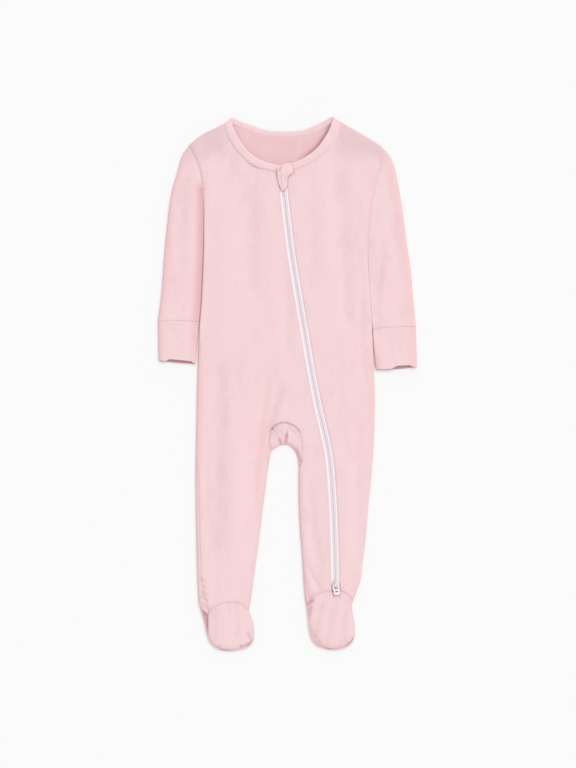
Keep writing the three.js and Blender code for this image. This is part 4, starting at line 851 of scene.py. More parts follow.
@dataclass(frozen=True)
class Knit:
    """Rib-knit jersey: fine ribs with small stitches along them, and a soft nap."""

    name: str
    color: Color
    # colour of the painted shade in folds, also the far end of the random mottle
    shade: Color
    # colour of the painted pink of the rounded edges and the pulls, which stands in for light in the thin
    # cloth
    painted_pink: Color
    rib: float = 1.45  # from one rib to the next
    stitch: float = 1.1  # height of a stitch
    depth: float = 0.22  # of the bumps
    roughness: float = 0.93
    sheen: float = 0.25
    fold_gain: float = 0.38  # how strongly the painted fold shade darkens
    painted_pink_gain: float = 0.55  # how strongly the painted pink reddens the edges
    seam_gain: float = 0.35  # how strongly the painted seam shade darkens
    seam_share: Color = (0.69, 0.63, 0.67)  # of the painted pink that is left in the painted seam shade

    def material(self) -> Material:
        """Builds the node material."""
        s = Shader(self.name)
        weave = s.attribute("weave")
        weave_x, weave_y, _ = s.parts(weave)
        across = s.math("MULTIPLY", weave_x, 2 * math.pi / self.rib)
        up = s.math("MULTIPLY", weave_y, 2 * math.pi / self.stitch)
        rib = s.math("ABSOLUTE", s.math("SINE", s.math("MULTIPLY", across, 0.5)))
        slant = s.math("MULTIPLY", rib, 2.2)
        loops = s.math("SINE", s.math("ADD", up, slant))
        wool = s.node("ShaderNodeTexNoise", {"Vector": weave, "Scale": 1.6, "Detail": 4.0, "Roughness": 0.65})
        height = s.math("ADD", s.math("MULTIPLY", rib, 0.9), s.math("MULTIPLY", loops, 0.22))
        height = s.math("ADD", height, s.math("MULTIPLY", wool.outputs["Fac"], 0.7))
        bump = s.node("ShaderNodeBump", {"Height": height, "Strength": 0.5, "Distance": self.depth * MM})
        # Painted light from the mesh: painted shade of folds, painted pink of edges, painted shade of seams
        folded, painted_pink_share, painted_seam_shade = s.parts(s.attribute("painted_light"))
        cloud = self._noise(s, weave, (0.06, 0.03, 0.05), 0.45)
        slub = self._noise(s, weave, (0.10, 0.75, 0.5), 0.52)
        ribs = self._noise(s, weave, (0.55, 0.05, 0.5), 0.45)
        mottle = s.math("ADD", s.math("ADD", cloud, slub), ribs)
        fold = s.math("MULTIPLY", folded, self.fold_gain)
        shaded = s.mix(s.math("ADD", fold, mottle), self.color, self.shade)
        edge = s.math("MULTIPLY", painted_pink_share, self.painted_pink_gain)
        with_painted_pink = s.mix(s.math("ADD", edge, s.math("MULTIPLY", cloud, 0.5)), shaded, self.painted_pink)
        sewn = s.mix(s.math("MULTIPLY", painted_seam_shade, self.seam_gain), with_painted_pink,
                     tuple(k * v for k, v in zip(self.seam_share, self.painted_pink)))
        return s.finish({"Base Color": sewn, "Roughness": self.roughness, "Specular IOR Level": 0.15,
                         "Sheen Weight": self.sheen, "Sheen Roughness": 0.5,
                         "Normal": bump.outputs["Normal"]})

    @staticmethod
    def _noise(s: Shader, weave: NodeSocket, scale: tuple, gain: float) -> NodeSocket:
        """Noise about zero, stretched along the weave."""
        place = s.node("ShaderNodeVectorMath", {0: weave, 1: scale}, operation="MULTIPLY").outputs[0]
        noise = s.node("ShaderNodeTexNoise", {"Vector": place, "Scale": 1.0, "Detail": 2.0})
        return s.math("MULTIPLY", s.math("SUBTRACT", noise.outputs["Fac"], 0.5), gain * 2)


@dataclass(frozen=True)
class Woven:
    """Woven zip tape: fine cross ribs, with painted shadow of the coil beside the teeth."""

    name: str
    color: Color
    # colour of the painted shadow of the coil
    shade: Color
    rib: float = 0.7  # from one rib to the next

    def material(self) -> Material:
        """Builds the node material."""
        s = Shader(self.name)
        place = s.node("ShaderNodeTexCoord").outputs["Object"]
        place_x, place_y, _ = s.parts(place)
        turns = 2 * math.pi / (self.rib * MM)
        up = s.math("SINE", s.math("MULTIPLY", place_y, turns))
        across = s.math("SINE", s.math("MULTIPLY", place_x, turns * 1.3))
        height = s.math("MULTIPLY", up, across)
        bump = s.node("ShaderNodeBump", {"Height": height, "Strength": 0.4, "Distance": 0.1 * MM})
        painted_coil_shadow, _, _ = s.parts(s.attribute("painted_light"))
        return s.finish({"Base Color": s.mix(painted_coil_shadow, self.color, self.shade), "Roughness": 0.75,
                         "Specular IOR Level": 0.25, "Normal": bump.outputs["Normal"]})


@dataclass(frozen=True)
class Plain:
    """A plain finish: thread, nylon or the floor."""

    name: str
    color: Color
    roughness: float = 0.6
    specular: float = 0.4

    def material(self) -> Material:
        """Builds the node material."""
        return Shader(self.name).finish({"Base Color": (*self.color, 1), "Roughness": self.roughness,
                                         "Specular IOR Level": self.specular})


@dataclass(frozen=True)
class Enamel:
    """White enamel with painted shade on its steep sides."""

    name: str
    color: Color
    # colour of the painted shade on steep sides
    edge: Color

    def material(self) -> Material:
        """Builds the node material."""
        s = Shader(self.name)
        # Share of painted shade, stored where the faces turn away from straight up
        side, _, _ = s.parts(s.attribute("side"))
        return s.finish({"Base Color": s.mix(side, self.color, self.edge), "Roughness": 0.32,
                         "Coat Weight": 0.3})


@dataclass
class Finishes:
    """All finishes of the garment."""

    jersey: Material
    trim: Material
    tape: Material
    coil: Material
    enamel: Material
    worn: Material
    thread: Material
    floor: Material

    @classmethod
    def make(cls) -> "Finishes":
        """Builds every finish."""
        return cls(
            jersey=Knit("jersey_knit", (0.855, 0.628, 0.643), (0.735, 0.535, 0.556),
                        (0.862, 0.515, 0.525)).material(),
            trim=Knit("trim_knit", (0.872, 0.640, 0.655), (0.75, 0.56, 0.585), (0.875, 0.55, 0.56),
                      rib=1.2).material(),
            tape=Woven("tape_weave", (0.93, 0.85, 0.885), (0.92, 0.845, 0.885)).material(),
            coil=Plain("coil_nylon", (0.945, 0.875, 0.91), 0.42, 0.4).material(),
            enamel=Enamel("white_enamel", (0.90, 0.83, 0.87), (0.40, 0.26, 0.33)).material(),
            # The slider's enamel is painted greyer, as painted shade
            worn=Enamel("slider_enamel", (0.76, 0.70, 0.74), (0.38, 0.27, 0.34)).material(),
            thread=Plain("sewing_thread", (0.80, 0.56, 0.59), 0.7, 0.3).material(),
            floor=Plain("pale_floor", (0.88, 0.88, 0.88), 0.9, 0.1).material(),
        )


# Geometry Nodes


class Nodes(Tree):
    """A Geometry Nodes tree with named inputs, built in the script."""

    def __init__(self, name: str, inputs: dict[str, str]) -> None:
        """Makes the tree and its interface.

        Args:
            name: Name of the tree.
            inputs: Kind of each named input, such as Float.
        """
        self.tree = bpy.data.node_groups.new(name, "GeometryNodeTree")
        face = self.tree.interface
        face.new_socket("Geometry", in_out="INPUT", socket_type="NodeSocketGeometry")
        for key, kind in inputs.items():
            face.new_socket(key, in_out="INPUT", socket_type="NodeSocket" + kind)
        face.new_socket("Geometry", in_out="OUTPUT", socket_type="NodeSocketGeometry")
        self.input = self.tree.nodes.new("NodeGroupInput").outputs
        self.output = self.tree.nodes.new("NodeGroupOutput").inputs

    def finish(self, geometry: NodeSocket) -> NodeTree:
        """Ends the tree in realized instances with their material."""
        whole = self.node("GeometryNodeRealizeInstances", {"Geometry": geometry})
        painted = self.node("GeometryNodeSetMaterial", {"Geometry": whole.outputs[0],
                                                        "Material": self.input["Material"]})
        self.tree.links.new(painted.outputs[0], self.output["Geometry"])
        return self.tree


def run_nodes(name: str, lines: Sequence[Array], tree: NodeTree,
              values: dict[str, object]) -> Object:
    """Runs a tree over paths and keeps its result as one plain mesh.

    Args:
        name: Name of the new object.
        lines: Paths in millimetres, each an array of points.
        tree: The tree.
        values: Value of each named input.

    Returns:
        The object with the finished mesh.
    """
    points, edges = [], []
    for line in lines:
        first = len(points)
        points += (line * MM).tolist()
        edges += [(first + i, first + i + 1) for i in range(len(line) - 1)]
    mesh = bpy.data.meshes.new(name + "_path")
    mesh.from_pydata(points, edges, [])
    path = add_object(name + "_path", mesh)
    modifier = path.modifiers.new("nodes", "NODES")
    modifier.node_group = tree
    for item in tree.interface.items_tree:
        if item.item_type == "SOCKET" and item.in_out == "INPUT" and item.name in values:
            modifier[item.identifier] = values[item.name]
    graph = bpy.context.evaluated_depsgraph_get()
    result = bpy.data.meshes.new_from_object(path.evaluated_get(graph))
    result.name = name
    bpy.data.objects.remove(path)
    bpy.data.meshes.remove(mesh)
    result.shade_smooth()
    return add_object(name, result)


def stitch_tree() -> NodeTree:
    """Tree that lays small thread stitches along paths."""
    n = Nodes("stitches", {"Pitch": "Float", "Length": "Float", "Thickness": "Float", "Seed": "Int",
                           "Material": "Material"})
    curve = n.node("GeometryNodeMeshToCurve", {"Mesh": n.input["Geometry"]})
    points = n.node("GeometryNodeCurveToPoints", {"Curve": curve.outputs[0], "Length": n.input["Pitch"]},
                    mode="LENGTH")
    ball = n.node("GeometryNodeMeshUVSphere", {"Segments": 6, "Rings": 4, "Radius": 0.5})
    size = n.node("ShaderNodeCombineXYZ", {"X": n.input["Thickness"], "Y": n.input["Thickness"],
                                           "Z": n.input["Length"]})
    stitch = n.node("GeometryNodeTransform", {"Geometry": ball.outputs["Mesh"], "Scale": size.outputs[0]})
    random = n.node("FunctionNodeRandomValue", {"Seed": n.input["Seed"]}, data_type="FLOAT_VECTOR")
    random.inputs[0].default_value = (0.85, 0.85, 0.85)
    random.inputs[1].default_value = (1.12, 1.12, 1.08)
    placed = n.node("GeometryNodeInstanceOnPoints", {
        "Points": points.outputs["Points"], "Instance": stitch.outputs[0],
        "Rotation": points.outputs["Rotation"], "Scale": random.outputs[0]})
    return n.finish(placed.outputs[0])


def coil_tree() -> NodeTree:
    """Tree that lays the interlocked loops of a nylon coil along a path."""
    n = Nodes("coil", {"Pitch": "Float", "Half Width": "Float", "Wire": "Float", "Material": "Material"})
    curve = n.node("GeometryNodeMeshToCurve", {"Mesh": n.input["Geometry"]})
    upright = n.node("GeometryNodeSetCurveNormal", {"Curve": curve.outputs[0]})
    upright.mode = "Z_UP"
    points = n.node("GeometryNodeCurveToPoints", {"Curve": upright.outputs[0], "Length": n.input["Pitch"]},
                    mode="LENGTH")
    ball = n.node("GeometryNodeMeshUVSphere", {"Segments": 8, "Rings": 6, "Radius": 1.0})
    half = n.math("MULTIPLY", n.input["Half Width"], 0.54)
    size = n.node("ShaderNodeCombineXYZ", {"X": half, "Y": n.input["Wire"], "Z": n.input["Wire"]})
    sides = []
    for side in (-1, 1):
        reach = n.math("MULTIPLY", n.input["Half Width"], 0.46 * side)
        shift = n.math("MULTIPLY", n.input["Pitch"], 0.25 * side)
        place = n.node("ShaderNodeCombineXYZ", {"X": reach, "Z": shift})
        loop = n.node("GeometryNodeTransform", {
            "Geometry": ball.outputs["Mesh"], "Translation": place.outputs[0], "Scale": size.outputs[0],
            "Rotation": (0, math.radians(9 * side), 0)})
        sides.append(n.node("GeometryNodeInstanceOnPoints", {
            "Points": points.outputs["Points"], "Instance": loop.outputs[0],
            "Rotation": points.outputs["Rotation"]}))
    both = n.node("GeometryNodeJoinGeometry")
    for side in sides:
        n.tree.links.new(side.outputs[0], both.inputs[0])
    return n.finish(both.outputs[0])


# The garment


def build_edges() -> dict[str, list[Array]]:
    """Rounded edges of the body and of each sleeve, with the cloth on their left."""

    def dense(points: Sequence) -> Array:
        """Fine outline through some corners."""
        return sample(points, even(61))

    top_left = np.vstack([dense(LEFT_SHOULDER), dense(LEFT_SLEEVE_OUTER)[1:]])
    top_right = np.vstack([dense(RIGHT_SLEEVE_OUTER[::-1]), dense(RIGHT_SHOULDER[::-1])[1:]])
    body = [
        top_left, top_right,
        edge_along_y(left_side, 252, ANKLE_Y), dense(LEFT_FOOT["outline"]),
        edge_along_y(inner_left, ANKLE_Y, -88.2), dense(CROTCH_EDGE),
        edge_along_y(inner_right, -106.6, ANKLE_Y), dense(RIGHT_FOOT["outline"]),
        edge_along_y(right_side, ANKLE_Y, 170),
    ]
    return {"body": body, "left": [top_left, dense(LEFT_SLEEVE_INNER[::-1])],
            "right": [top_right, dense(RIGHT_SLEEVE_INNER)]}


NECK_SEAM = [row[:2] for row in NECKBAND]


def neck_part(points: Sequence, from_x: float, to_x: float, count: int) -> Array:
    """Part of the neck seam between two values of x, evenly cut."""
    line = sample(points, even(201))
    inside = line[(line[:, 0] >= min(from_x, to_x)) & (line[:, 0] <= max(from_x, to_x))]
    if (from_x > to_x) != (inside[0, 0] > inside[-1, 0]):
        inside = inside[::-1]
    return sample(inside, even(count + 1))


def arch_line(gap: float) -> Array:
    """The arched seam of the gusset, moved inwards by a gap."""
    left = list(zip(ARCH["left"], ARCH["y"]))[:8][::-1]
    right = list(zip(ARCH["right"], ARCH["y"]))[1:]
    return offset(sample(left + right, even(121)), gap)


@dataclass(frozen=True)
class Columns:
    """Columns of a strip: close ones at its ends and even ones between."""

    low: int
    middle: int
    high: int

    def rows(self, y: Array, start: Callable, end: Callable) -> Array:
        """Straight rows of the strip at some heights of the pattern."""
        a = start(y)[:, None] + EDGE_STEPS[:self.low]
        b = end(y)[:, None] - EDGE_STEPS[:self.high][::-1]
        share = even(self.middle + 1)[1:-1]
        x = np.hstack([a, a[:, -1:] + share * (b[:, :1] - a[:, -1:]), b])
        return np.stack([x, np.broadcast_to(y[:, None], x.shape)], -1)

    def row(self, y: float, start: Callable, end: Callable) -> Array:
        """One straight row at a height of the pattern."""
        return self.rows(np.array([float(y)]), start, end)[0]

    @property
    def count(self) -> int:
        """Number of steps across."""
        return self.low + self.middle - 1 + self.high - 1


@dataclass(frozen=True)
class Strip:
    """One strip of a panel, from the ankle to the neck or shoulder."""

    start: Callable  # left edge
    end: Callable  # right edge
    columns: Columns
    ankle: Array
    top: Array
    left: Array  # left side above the underarm
    right: Array
    low_y: float = ANKLE_ROW_Y  # lowest straight row
    step: float = 2.2  # from row to row

    def grid(self) -> Array:
        """Pattern points of the whole strip."""
        count = round((UNDERARM_Y - self.low_y) / self.step)
        ys = np.linspace(self.low_y, UNDERARM_Y, count + 1)
        ys = ys[np.abs(ys + 55) > 4.5]
        extra = [*np.arange(-59.5, APEX[1] - 0.2, 0.55), APEX[1], APEX[1] + 0.01, 170.0, 171.0]
        ys = np.unique(np.concatenate([ys, extra]))
        rows = self.columns.rows(ys, self.start, self.end)
        up = graded(abs(self.low_y - self.ankle[:, 1].mean()), self.step, 6, 1)
        low = [self._side(self.start, self.ankle[0], up), self._side(self.end, self.ankle[-1], up)]
        foot = fill(self.ankle, rows[0], *low)[:-1]
        yoke = fill(rows[-1], self.top, self.left, self.right)[1:]
        return np.concatenate([foot, rows, yoke])

    def _side(self, edge: Callable, end: Array, up: Array) -> Array:
        """Side of the part between the last straight row and the ankle."""
        y = end[1] + up * (self.low_y - end[1])
        return np.stack([edge(y) + (1 - up) * (end[0] - edge(end[1])), y], 1)


def ankle_line(seam: Sequence, start: float, end: float, like: Array) -> Array:
    """Part of the seam over a foot, at the columns of a row."""
    fine = sample(seam, even(401))
    x = start + shares_of(like) * (end - start)
    order = np.argsort(fine[:, 0])
    return np.stack([x, np.interp(x, fine[order, 0], fine[order, 1])], 1)


def heel_line(start: float, end: float, rise: float, like: Array) -> Array:
    """Arched seam over the heel, at the columns of a row."""
    share = shares_of(like)
    return np.stack([start + share * (end - start), ANKLE_Y + rise * np.sin(np.pi * share) ** 0.7], 1)


@dataclass
class Torso:
    """Front panels, back panel and crotch gusset."""

    lay: Lay
    fold_lay: Lay
    finishes: Finishes
    outer: Columns = Columns(7, 40, 7)
    inner: Columns = Columns(6, 12, 5)
    side: Columns = Columns(5, 44, 7)
    back_left: Columns = Columns(7, 26, 7)
    back_right: Columns = Columns(7, 44, 7)
    yoke: float = 62.0  # height of the part above the underarm

    def __post_init__(self) -> None:
        """Works out the rows above the underarm and the seams over the heels."""
        self.up = graded(self.yoke, 2.4, 1, 7)
        self.up_back = graded(self.yoke, 3.2, 1, 7)
        self.heels = (
            heel_line(float(left_side(ANKLE_Y)), float(inner_left(ANKLE_Y)), LEFT_FOOT["heel_rise"],
                      self.back_left.row(ANKLE_ROW_Y, left_side, inner_edge_left)),
            heel_line(float(inner_right(ANKLE_Y)), float(right_side(ANKLE_Y)), RIGHT_FOOT["heel_rise"],
                      self.back_right.row(ANKLE_ROW_Y, inner_edge_right, right_side)),
        )

    def _shoulder_and_neck(self, shoulder: Sequence, neck: Array, steps: int,
                           at_start: bool) -> Array:
        """Joins a shoulder line, cut in even steps, with the neck line beside it."""
        line = sample(shoulder, even(steps + 1))
        if at_start:
            return np.vstack([line, neck[1:]])
        return np.vstack([neck[:-1], line])

    def front_main(self) -> Object:
        """Front panel left of the zip: torso, left leg and the inner strip of the right leg."""
        columns = self.outer
        under = columns.row(UNDERARM_Y, seamed_left, centre_line)
        shoulder_steps = round(columns.count * 0.33)
        start = NECK_SEAM[BAND_TURN_LEFT][0] - 0.1
        neck = neck_part(NECK_SEAM[BAND_TURN_LEFT:], start, CENTRE_TOP[0], columns.count - shoulder_steps)
        top = self._shoulder_and_neck(LEFT_SHOULDER[::-1], neck, shoulder_steps, True)
        armhole = sample(LEFT_ARMHOLE, self.up)
        centre = straight(under[-1], top[-1], self.up)
        seam = LEFT_FOOT["seam"]
        outer = Strip(seamed_left, inner_edge_left, columns,
                      ankle_line(seam, seam[0][0] + SEAM_END, seam[-1][0] - SEAM_END,
                                 columns.row(ANKLE_ROW_Y, seamed_left, inner_edge_left)),
                      top, armhole, centre)
        columns = self.inner
        under = columns.row(UNDERARM_Y, centre_line, left_of_zip)
        inner_top = neck_part(NECK_SEAM[BAND_TURN_LEFT:], CENTRE_TOP[0], ZIP_TOP_LEFT_X, columns.count)
        inner_top[0] = top[-1]
        seam = RIGHT_FOOT["seam"]
        inner = Strip(inner_edge_right, left_of_zip, columns,
                      ankle_line(seam, seam[0][0] + SEAM_END, float(left_of_zip(ANKLE_ROW_Y)),
                                 columns.row(ANKLE_ROW_Y, inner_edge_right, left_of_zip)),
                      inner_top, centre, straight(under[-1], inner_top[-1], self.up))
        shell = ClothShell().patch(self.lay.front(outer.grid())).patch(self.lay.front(inner.grid()))
        return self._cloth(shell, "cloth_front_main", "front_main")

    def front_side(self) -> Object:
        """Front panel right of the zip."""
        columns = self.side
        under = columns.row(UNDERARM_Y, right_of_zip, right_side)
        shoulder_steps = round(columns.count * 0.28)
        end = NECK_SEAM[BAND_TURN_RIGHT][0] + 0.1
        neck = neck_part(NECK_SEAM[:BAND_TURN_RIGHT + 1], ZIP_TOP_RIGHT_X, end,
                         columns.count - shoulder_steps)
        top = self._shoulder_and_neck(RIGHT_SHOULDER, neck, shoulder_steps, False)
        seam = RIGHT_FOOT["seam"]
        strip = Strip(right_of_zip, right_side, columns,
                      ankle_line(seam, float(right_of_zip(ANKLE_ROW_Y)), seam[-1][0] - SEAM_END,
                                 columns.row(ANKLE_ROW_Y, right_of_zip, right_side)),
                      top, straight(under[0], top[0], self.up), sample(RIGHT_ARMHOLE, self.up))
        shell = ClothShell().patch(self.lay.front(strip.grid()))
        return self._cloth(shell, "cloth_front_side", "front_side")

    def back_panel(self) -> Object:
        """Back panel with both legs and the edge that comes round onto the front."""
        columns_l, columns_r = self.back_left, self.back_right
        under_l = columns_l.row(UNDERARM_Y, left_side, centre_line)
        line = [LEFT_SHOULDER[0], *NECK_SEAM[BAND_TURN_RIGHT + 1:BAND_TURN_LEFT][::-1], RIGHT_SHOULDER[0]]
        steps_l, steps_r = round(columns_l.count * 0.33), round(columns_r.count * 0.36)
        neck_l = neck_part(line, LEFT_SHOULDER[0][0] - 0.1, CENTRE_TOP[0], columns_l.count - steps_l)
        neck_r = neck_part(line, CENTRE_TOP[0], RIGHT_SHOULDER[0][0] + 0.1, columns_r.count - steps_r)
        neck_r[0] = neck_l[-1]
        top_l = self._shoulder_and_neck(LEFT_SHOULDER[::-1], neck_l, steps_l, True)
        top_r = self._shoulder_and_neck(RIGHT_SHOULDER, neck_r, steps_r, False)
        centre = straight(under_l[-1], neck_r[0], self.up_back)
        shared = {"low_y": -232.0, "step": 3.4}
        left = Strip(left_side, inner_edge_left, columns_l, self.heels[0], top_l,
                     sample(LEFT_ARMHOLE, self.up_back), centre, **shared).grid()
        right = Strip(inner_edge_right, right_side, columns_r, self.heels[1], top_r, centre,
                      sample(RIGHT_ARMHOLE, self.up_back), **shared).grid()
        shell = ClothShell().patch(self.lay.back(left), True)
        walls = self.lay.back(right)
        # Painted shadow of the neckband's free edge on the inside of the back, right of the middle
        band = Outline([np.array(NECKBAND)[:7, 2:4]])
        shaded = np.exp(-((band.nearest(right.reshape(-1, 2))[0] / 4.5) ** 2)).reshape(right.shape[:2])
        walls[2][..., 2] += 2.6 * shaded * smoothstep(right[..., 0], 8, 32)
        shell.patch(walls, True)
        self._wrap(shell, left[:, 0])
        self._tongue(shell)
        return self._cloth(shell, "cloth_back_panel", "back_panel")

    def _turn(self, shell: ClothShell, side: Array, to_x: Array) -> Array:
        """Adds cloth that turns from a side edge of the back onto the front.

        Args:
            shell: The wall that gets it.
            side: Points on the side edge.
            to_x: How far over it reaches at each of them.

        Returns:
            Its grid of pattern points.
        """
        reach = np.stack([to_x - side[:, 0], np.zeros(len(side))], 1)
        grid = side[:, None] + TURN_SHARES[None, :, None] * reach[:, None]
        laid = self.lay.front(grid)
        for layer, rim in zip(laid, self.lay.back(side[:, None])):
            layer[:, 0] = rim[:, 0]
        shell.patch(laid, True)
        return grid

    def _wrap(self, shell: ClothShell, side: Array) -> None:
        """Adds the part of the back that shows on the front along the left leg."""
        side = side[(wrap_width(side[:, 1]) > WRAP_START) & (side[:, 1] < 0)][::-1]
        low = self._turn(shell, side, wrap_edge(side[:, 1]))[-1]
        y = np.linspace(low[-1, 1], LEFT_FOOT["seam"][0][1] + 0.3, 11)
        inner = sample([*np.stack([wrap_edge(y), y], 1), (-103.8, -300.5)], even(13))
        outer = sample([low[0], (-114.3, -288.5), (-112.7, -293.2)], even(13))
        hem = straight(outer[-1], inner[-1], TURN_SHARES)
        shell.patch(self.lay.front(fill(low, hem, outer, inner)), True)

    def _tongue(self, shell: ClothShell) -> None:
        """Adds the part of the back that shows on the front beside the right ankle."""
        y = np.linspace(ANKLE_ROW_Y - 1.5, ANKLE_Y + 0.3, 15)
        seam_x, seam_y = RIGHT_FOOT["seam"][0]
        way = (ANKLE_ROW_Y - y) / (ANKLE_ROW_Y - seam_y)
        edge = inner_edge_right(y)
        front_x = edge + way * (seam_x + SEAM_END - inner_edge_right(seam_y)) - SEAM_GAP
        self._turn(shell, np.stack([edge, y], 1), front_x)

    def gusset(self) -> Object:
        """Crotch gusset: arched on the front and turned round the crotch."""
        line = arch_line(ARCH_GAP)
        up = graded(46, 1.4, 7, 5)
        across = even(45)
        left, right = along(line, up * 0.26), along(line, 1 - up * 0.42)
        top = along(line, 0.26 + across * 0.32)
        bottom = sample(CROTCH_EDGE, across)
        left[0], right[0] = bottom[0], bottom[-1]
        grid = fill(bottom, top, left, right)
        shell = ClothShell(grain=8)
        rim = self.fold_lay.rim(grid[0])
        for lift, down in ((self.fold_lay.front, False), (self.fold_lay.back, True)):
            walls = lift(grid)
            for layer, edge in zip(walls, rim):
                layer[0] = edge
            shell.patch(walls, down)
        return self._cloth(shell, "cloth_gusset", "crotch_gusset")

    def _cloth(self, shell: ClothShell, name: str, node: str) -> Object:
        """One panel of jersey."""
        return declare_cloth(shell, name, self.finishes.jersey, Slot.JERSEY, node)


def declare_cloth(shell: ClothShell, name: str, material: Material, slot: Slot, node: str) -> Object:
    """Args:
        shell: The wall.
        name: Name of the object.
        material: Its material.
        slot: Its slot; not used.
        node: The solid that it stands for.

    Returns:
        The object.
    """
    obj = declare(shell.build(name, material), Body.SUIT, slot, node)
    return declare_sheet(obj)


def declare_sheet(obj: Object) -> Object:
    """Gives back a piece of cloth as it is.

    Args:
        obj: The piece.

    Returns:
        The piece.
    """
    return obj


@dataclass
class Tube:
    """A flattened tube of cloth: a sleeve or a cuff."""

    lay: Lay
    finishes: Finishes
    mouth_rows: int = 9  # rows of the back layer that show through a mouth
    mouth_shade: float = 3.2  # painted shade on them inside the mouth

    def build(self, grid: Array, name: str, node: str, flat: tuple[float, float], grain: float,
              front_grid: Array | None = None) -> Object:
        """Makes the tube over a grid whose first and last columns are its side edges.

        Args:
            grid: Pattern points of the back layer, rows from the hem up.
            name: Name of the object.
            node: The solid that it stands for.
            flat: Width all round and length of the cut, in metres; not used.
            grain: Angle of the knit, in degrees.
            front_grid: Pattern points of the front layer, where its hem is set back.

        Returns:
            The object.
        """
        shell = ClothShell(grain)
        sides = [self.lay.rim(grid[:, 0]), self.lay.rim(grid[:, -1])]
        pairs = ((self.lay.front, grid if front_grid is None else front_grid, False),
                 (self.lay.back, grid, True))
        for lift, points, down in pairs:
            walls = lift(points)
            # Painted shade inside the cuff's mouth
            if down and front_grid is not None:
                walls[2][:self.mouth_rows, :, 2] += self.mouth_shade
            for k in range(2):
                walls[k][:, 0] = sides[0][k]
                walls[k][:, -1] = sides[1][k]
            shell.patch(walls, down)
        return declare_cloth(shell, name, self.finishes.jersey, Slot.JERSEY, node)


@dataclass(frozen=True)
class ArmCut:
    """Sizes of one sleeve and its cuff, in millimetres unless a field says otherwise."""

    flat: tuple[float, float]  # the sleeve's cut, all round and long, in metres
    cuff_flat: tuple[float, float]  # the cuff's cut in the same way
    step: float  # spacing of the points along the armhole
    grain: float  # angle of the sleeve's knit, in degrees
    bow: float  # how far the seam between sleeve and cuff bows up
    bend: float  # how far the cuff's edge beside the body bows out
    mouth: tuple[float, float]  # where the mouth of the cuff opens, as shares of its width
    near_roll: float = 1.6
    # painted shade where sleeve and cuff turn down beside the body
    painted_hollow_shade: float = 0.0
    cuff_painted_hollow_shade: float = 0.0


ARM_CUTS = {
    Side.LEFT: ArmCut((0.110, 0.232), (0.104, 0.052), 2.2, 5, 1.5, 0, (0.16, 1.0), 8.5, 1.0, 0.7),
    Side.RIGHT: ArmCut((0.118, 0.238), (0.113, 0.054), 3.2, -6, 0.8, 1.1, (0.36, 0.93)),
}


def bow(side: Side, across: Array) -> Array:
    """How far the seam between sleeve and cuff bows up, at shares of its length."""
    return ARM_CUTS[side].bow * np.sin(np.pi * across)[:, None] * [0, 1]


@dataclass
class Sleeves:
    """Both sleeves with their cuffs."""

    edges: dict[str, list[Array]]  # rounded edges of each sleeve
    seams: dict[str, list[Seam]]  # seams of each sleeve and each cuff
    finishes: Finishes
    sleeve_length: float = 200.0
    cuff_length: float = 50.0
    cuff_width: float = 52.0
    sag: float = 0.9  # how far the middle of a hem hangs down
    set_back: float = 0.5  # how far the front hem lies back everywhere
    opened: float = 3.4  # how much further it lies back at the mouth

    def sleeve(self, side: Side) -> Object:
        """One sleeve, from the armhole to the cuff."""
        cut = ARM_CUTS[side]
        if side is Side.LEFT:
            armhole = offset(sample(LEFT_ARMHOLE, even(90))[::-1], SEAM_GAP)
            low, high = LEFT_SLEEVE_OUTER, LEFT_SLEEVE_INNER
        else:
            straight_part = edge_along_y(right_side, *RIGHT_UNDERARM, 4)
            line = np.vstack([straight_part, sample(RIGHT_ARMHOLE, even(90))])
            armhole = offset(line, SEAM_GAP)
            low, high = RIGHT_SLEEVE_INNER, RIGHT_SLEEVE_OUTER
        across = graded(length_of(armhole), cut.step)
        top = along(armhole, across)
        up = graded(self.sleeve_length, 2.4, 5, 5)
        left, right = sample(low, 1 - up), sample(high, 1 - up)
        left[-1], right[-1] = top[0], top[-1]
        hem = straight(left[0], right[0], across) + bow(side, across)
        grid = fill(hem, top, left, right)
        lay = Lay(self.edges[side.value], self.seams[side.value], split=0, near_roll=cut.near_roll,
                  painted_hollow_shade=cut.painted_hollow_shade)
        return Tube(lay, self.finishes).build(grid, f"cloth_sleeve_{side.value}", f"sleeve_{side.value}",
                                              cut.flat, cut.grain)

    def cuff(self, side: Side) -> Object:
        """One cuff; its front hem lies back a little, so that its mouth shows."""
        cut = ARM_CUTS[side]
        cuff = CUFF_LEFT if side is Side.LEFT else CUFF_RIGHT
        seam, hem = np.array(cuff["seam"], float), np.array(cuff["hem"], float)
        up = graded(self.cuff_length, 1.8, 6, 6)
        left, right = straight(hem[0], seam[0], up), straight(hem[1], seam[1], up)
        left[:, 0] -= cut.bend * np.sin(np.pi * up)
        across = graded(self.cuff_width, 1.8)
        sag = self.sag * np.sin(np.pi * across)[:, None] * [0, -1]
        top = straight(seam[0], seam[1], across) + bow(side, across)
        grid = fill(straight(hem[0], hem[1], across) + sag, top, left, right)
        front = grid.copy()
        start, end = cut.mouth
        opened = smoothstep(across, start, start + 0.16)
        set_back = self.set_back + self.opened * opened * (1 - smoothstep(across, end - 0.12, end))
        set_back *= np.sin(np.pi * np.clip(across, 0.001, 0.999)) ** 0.25
        fade = np.clip(1 - up / 0.25, 0, 1)[:, None] ** 2
        front[..., 1] += fade * set_back[None]
        lay = Lay([left[::-1], right], self.seams["cuff_" + side.value], split=0, painted_hollow_shade=cut.cuff_painted_hollow_shade)
        return Tube(lay, self.finishes).build(grid, f"cloth_cuff_{side.value}", f"cuff_{side.value}",
                                              cut.cuff_flat, 0, front)


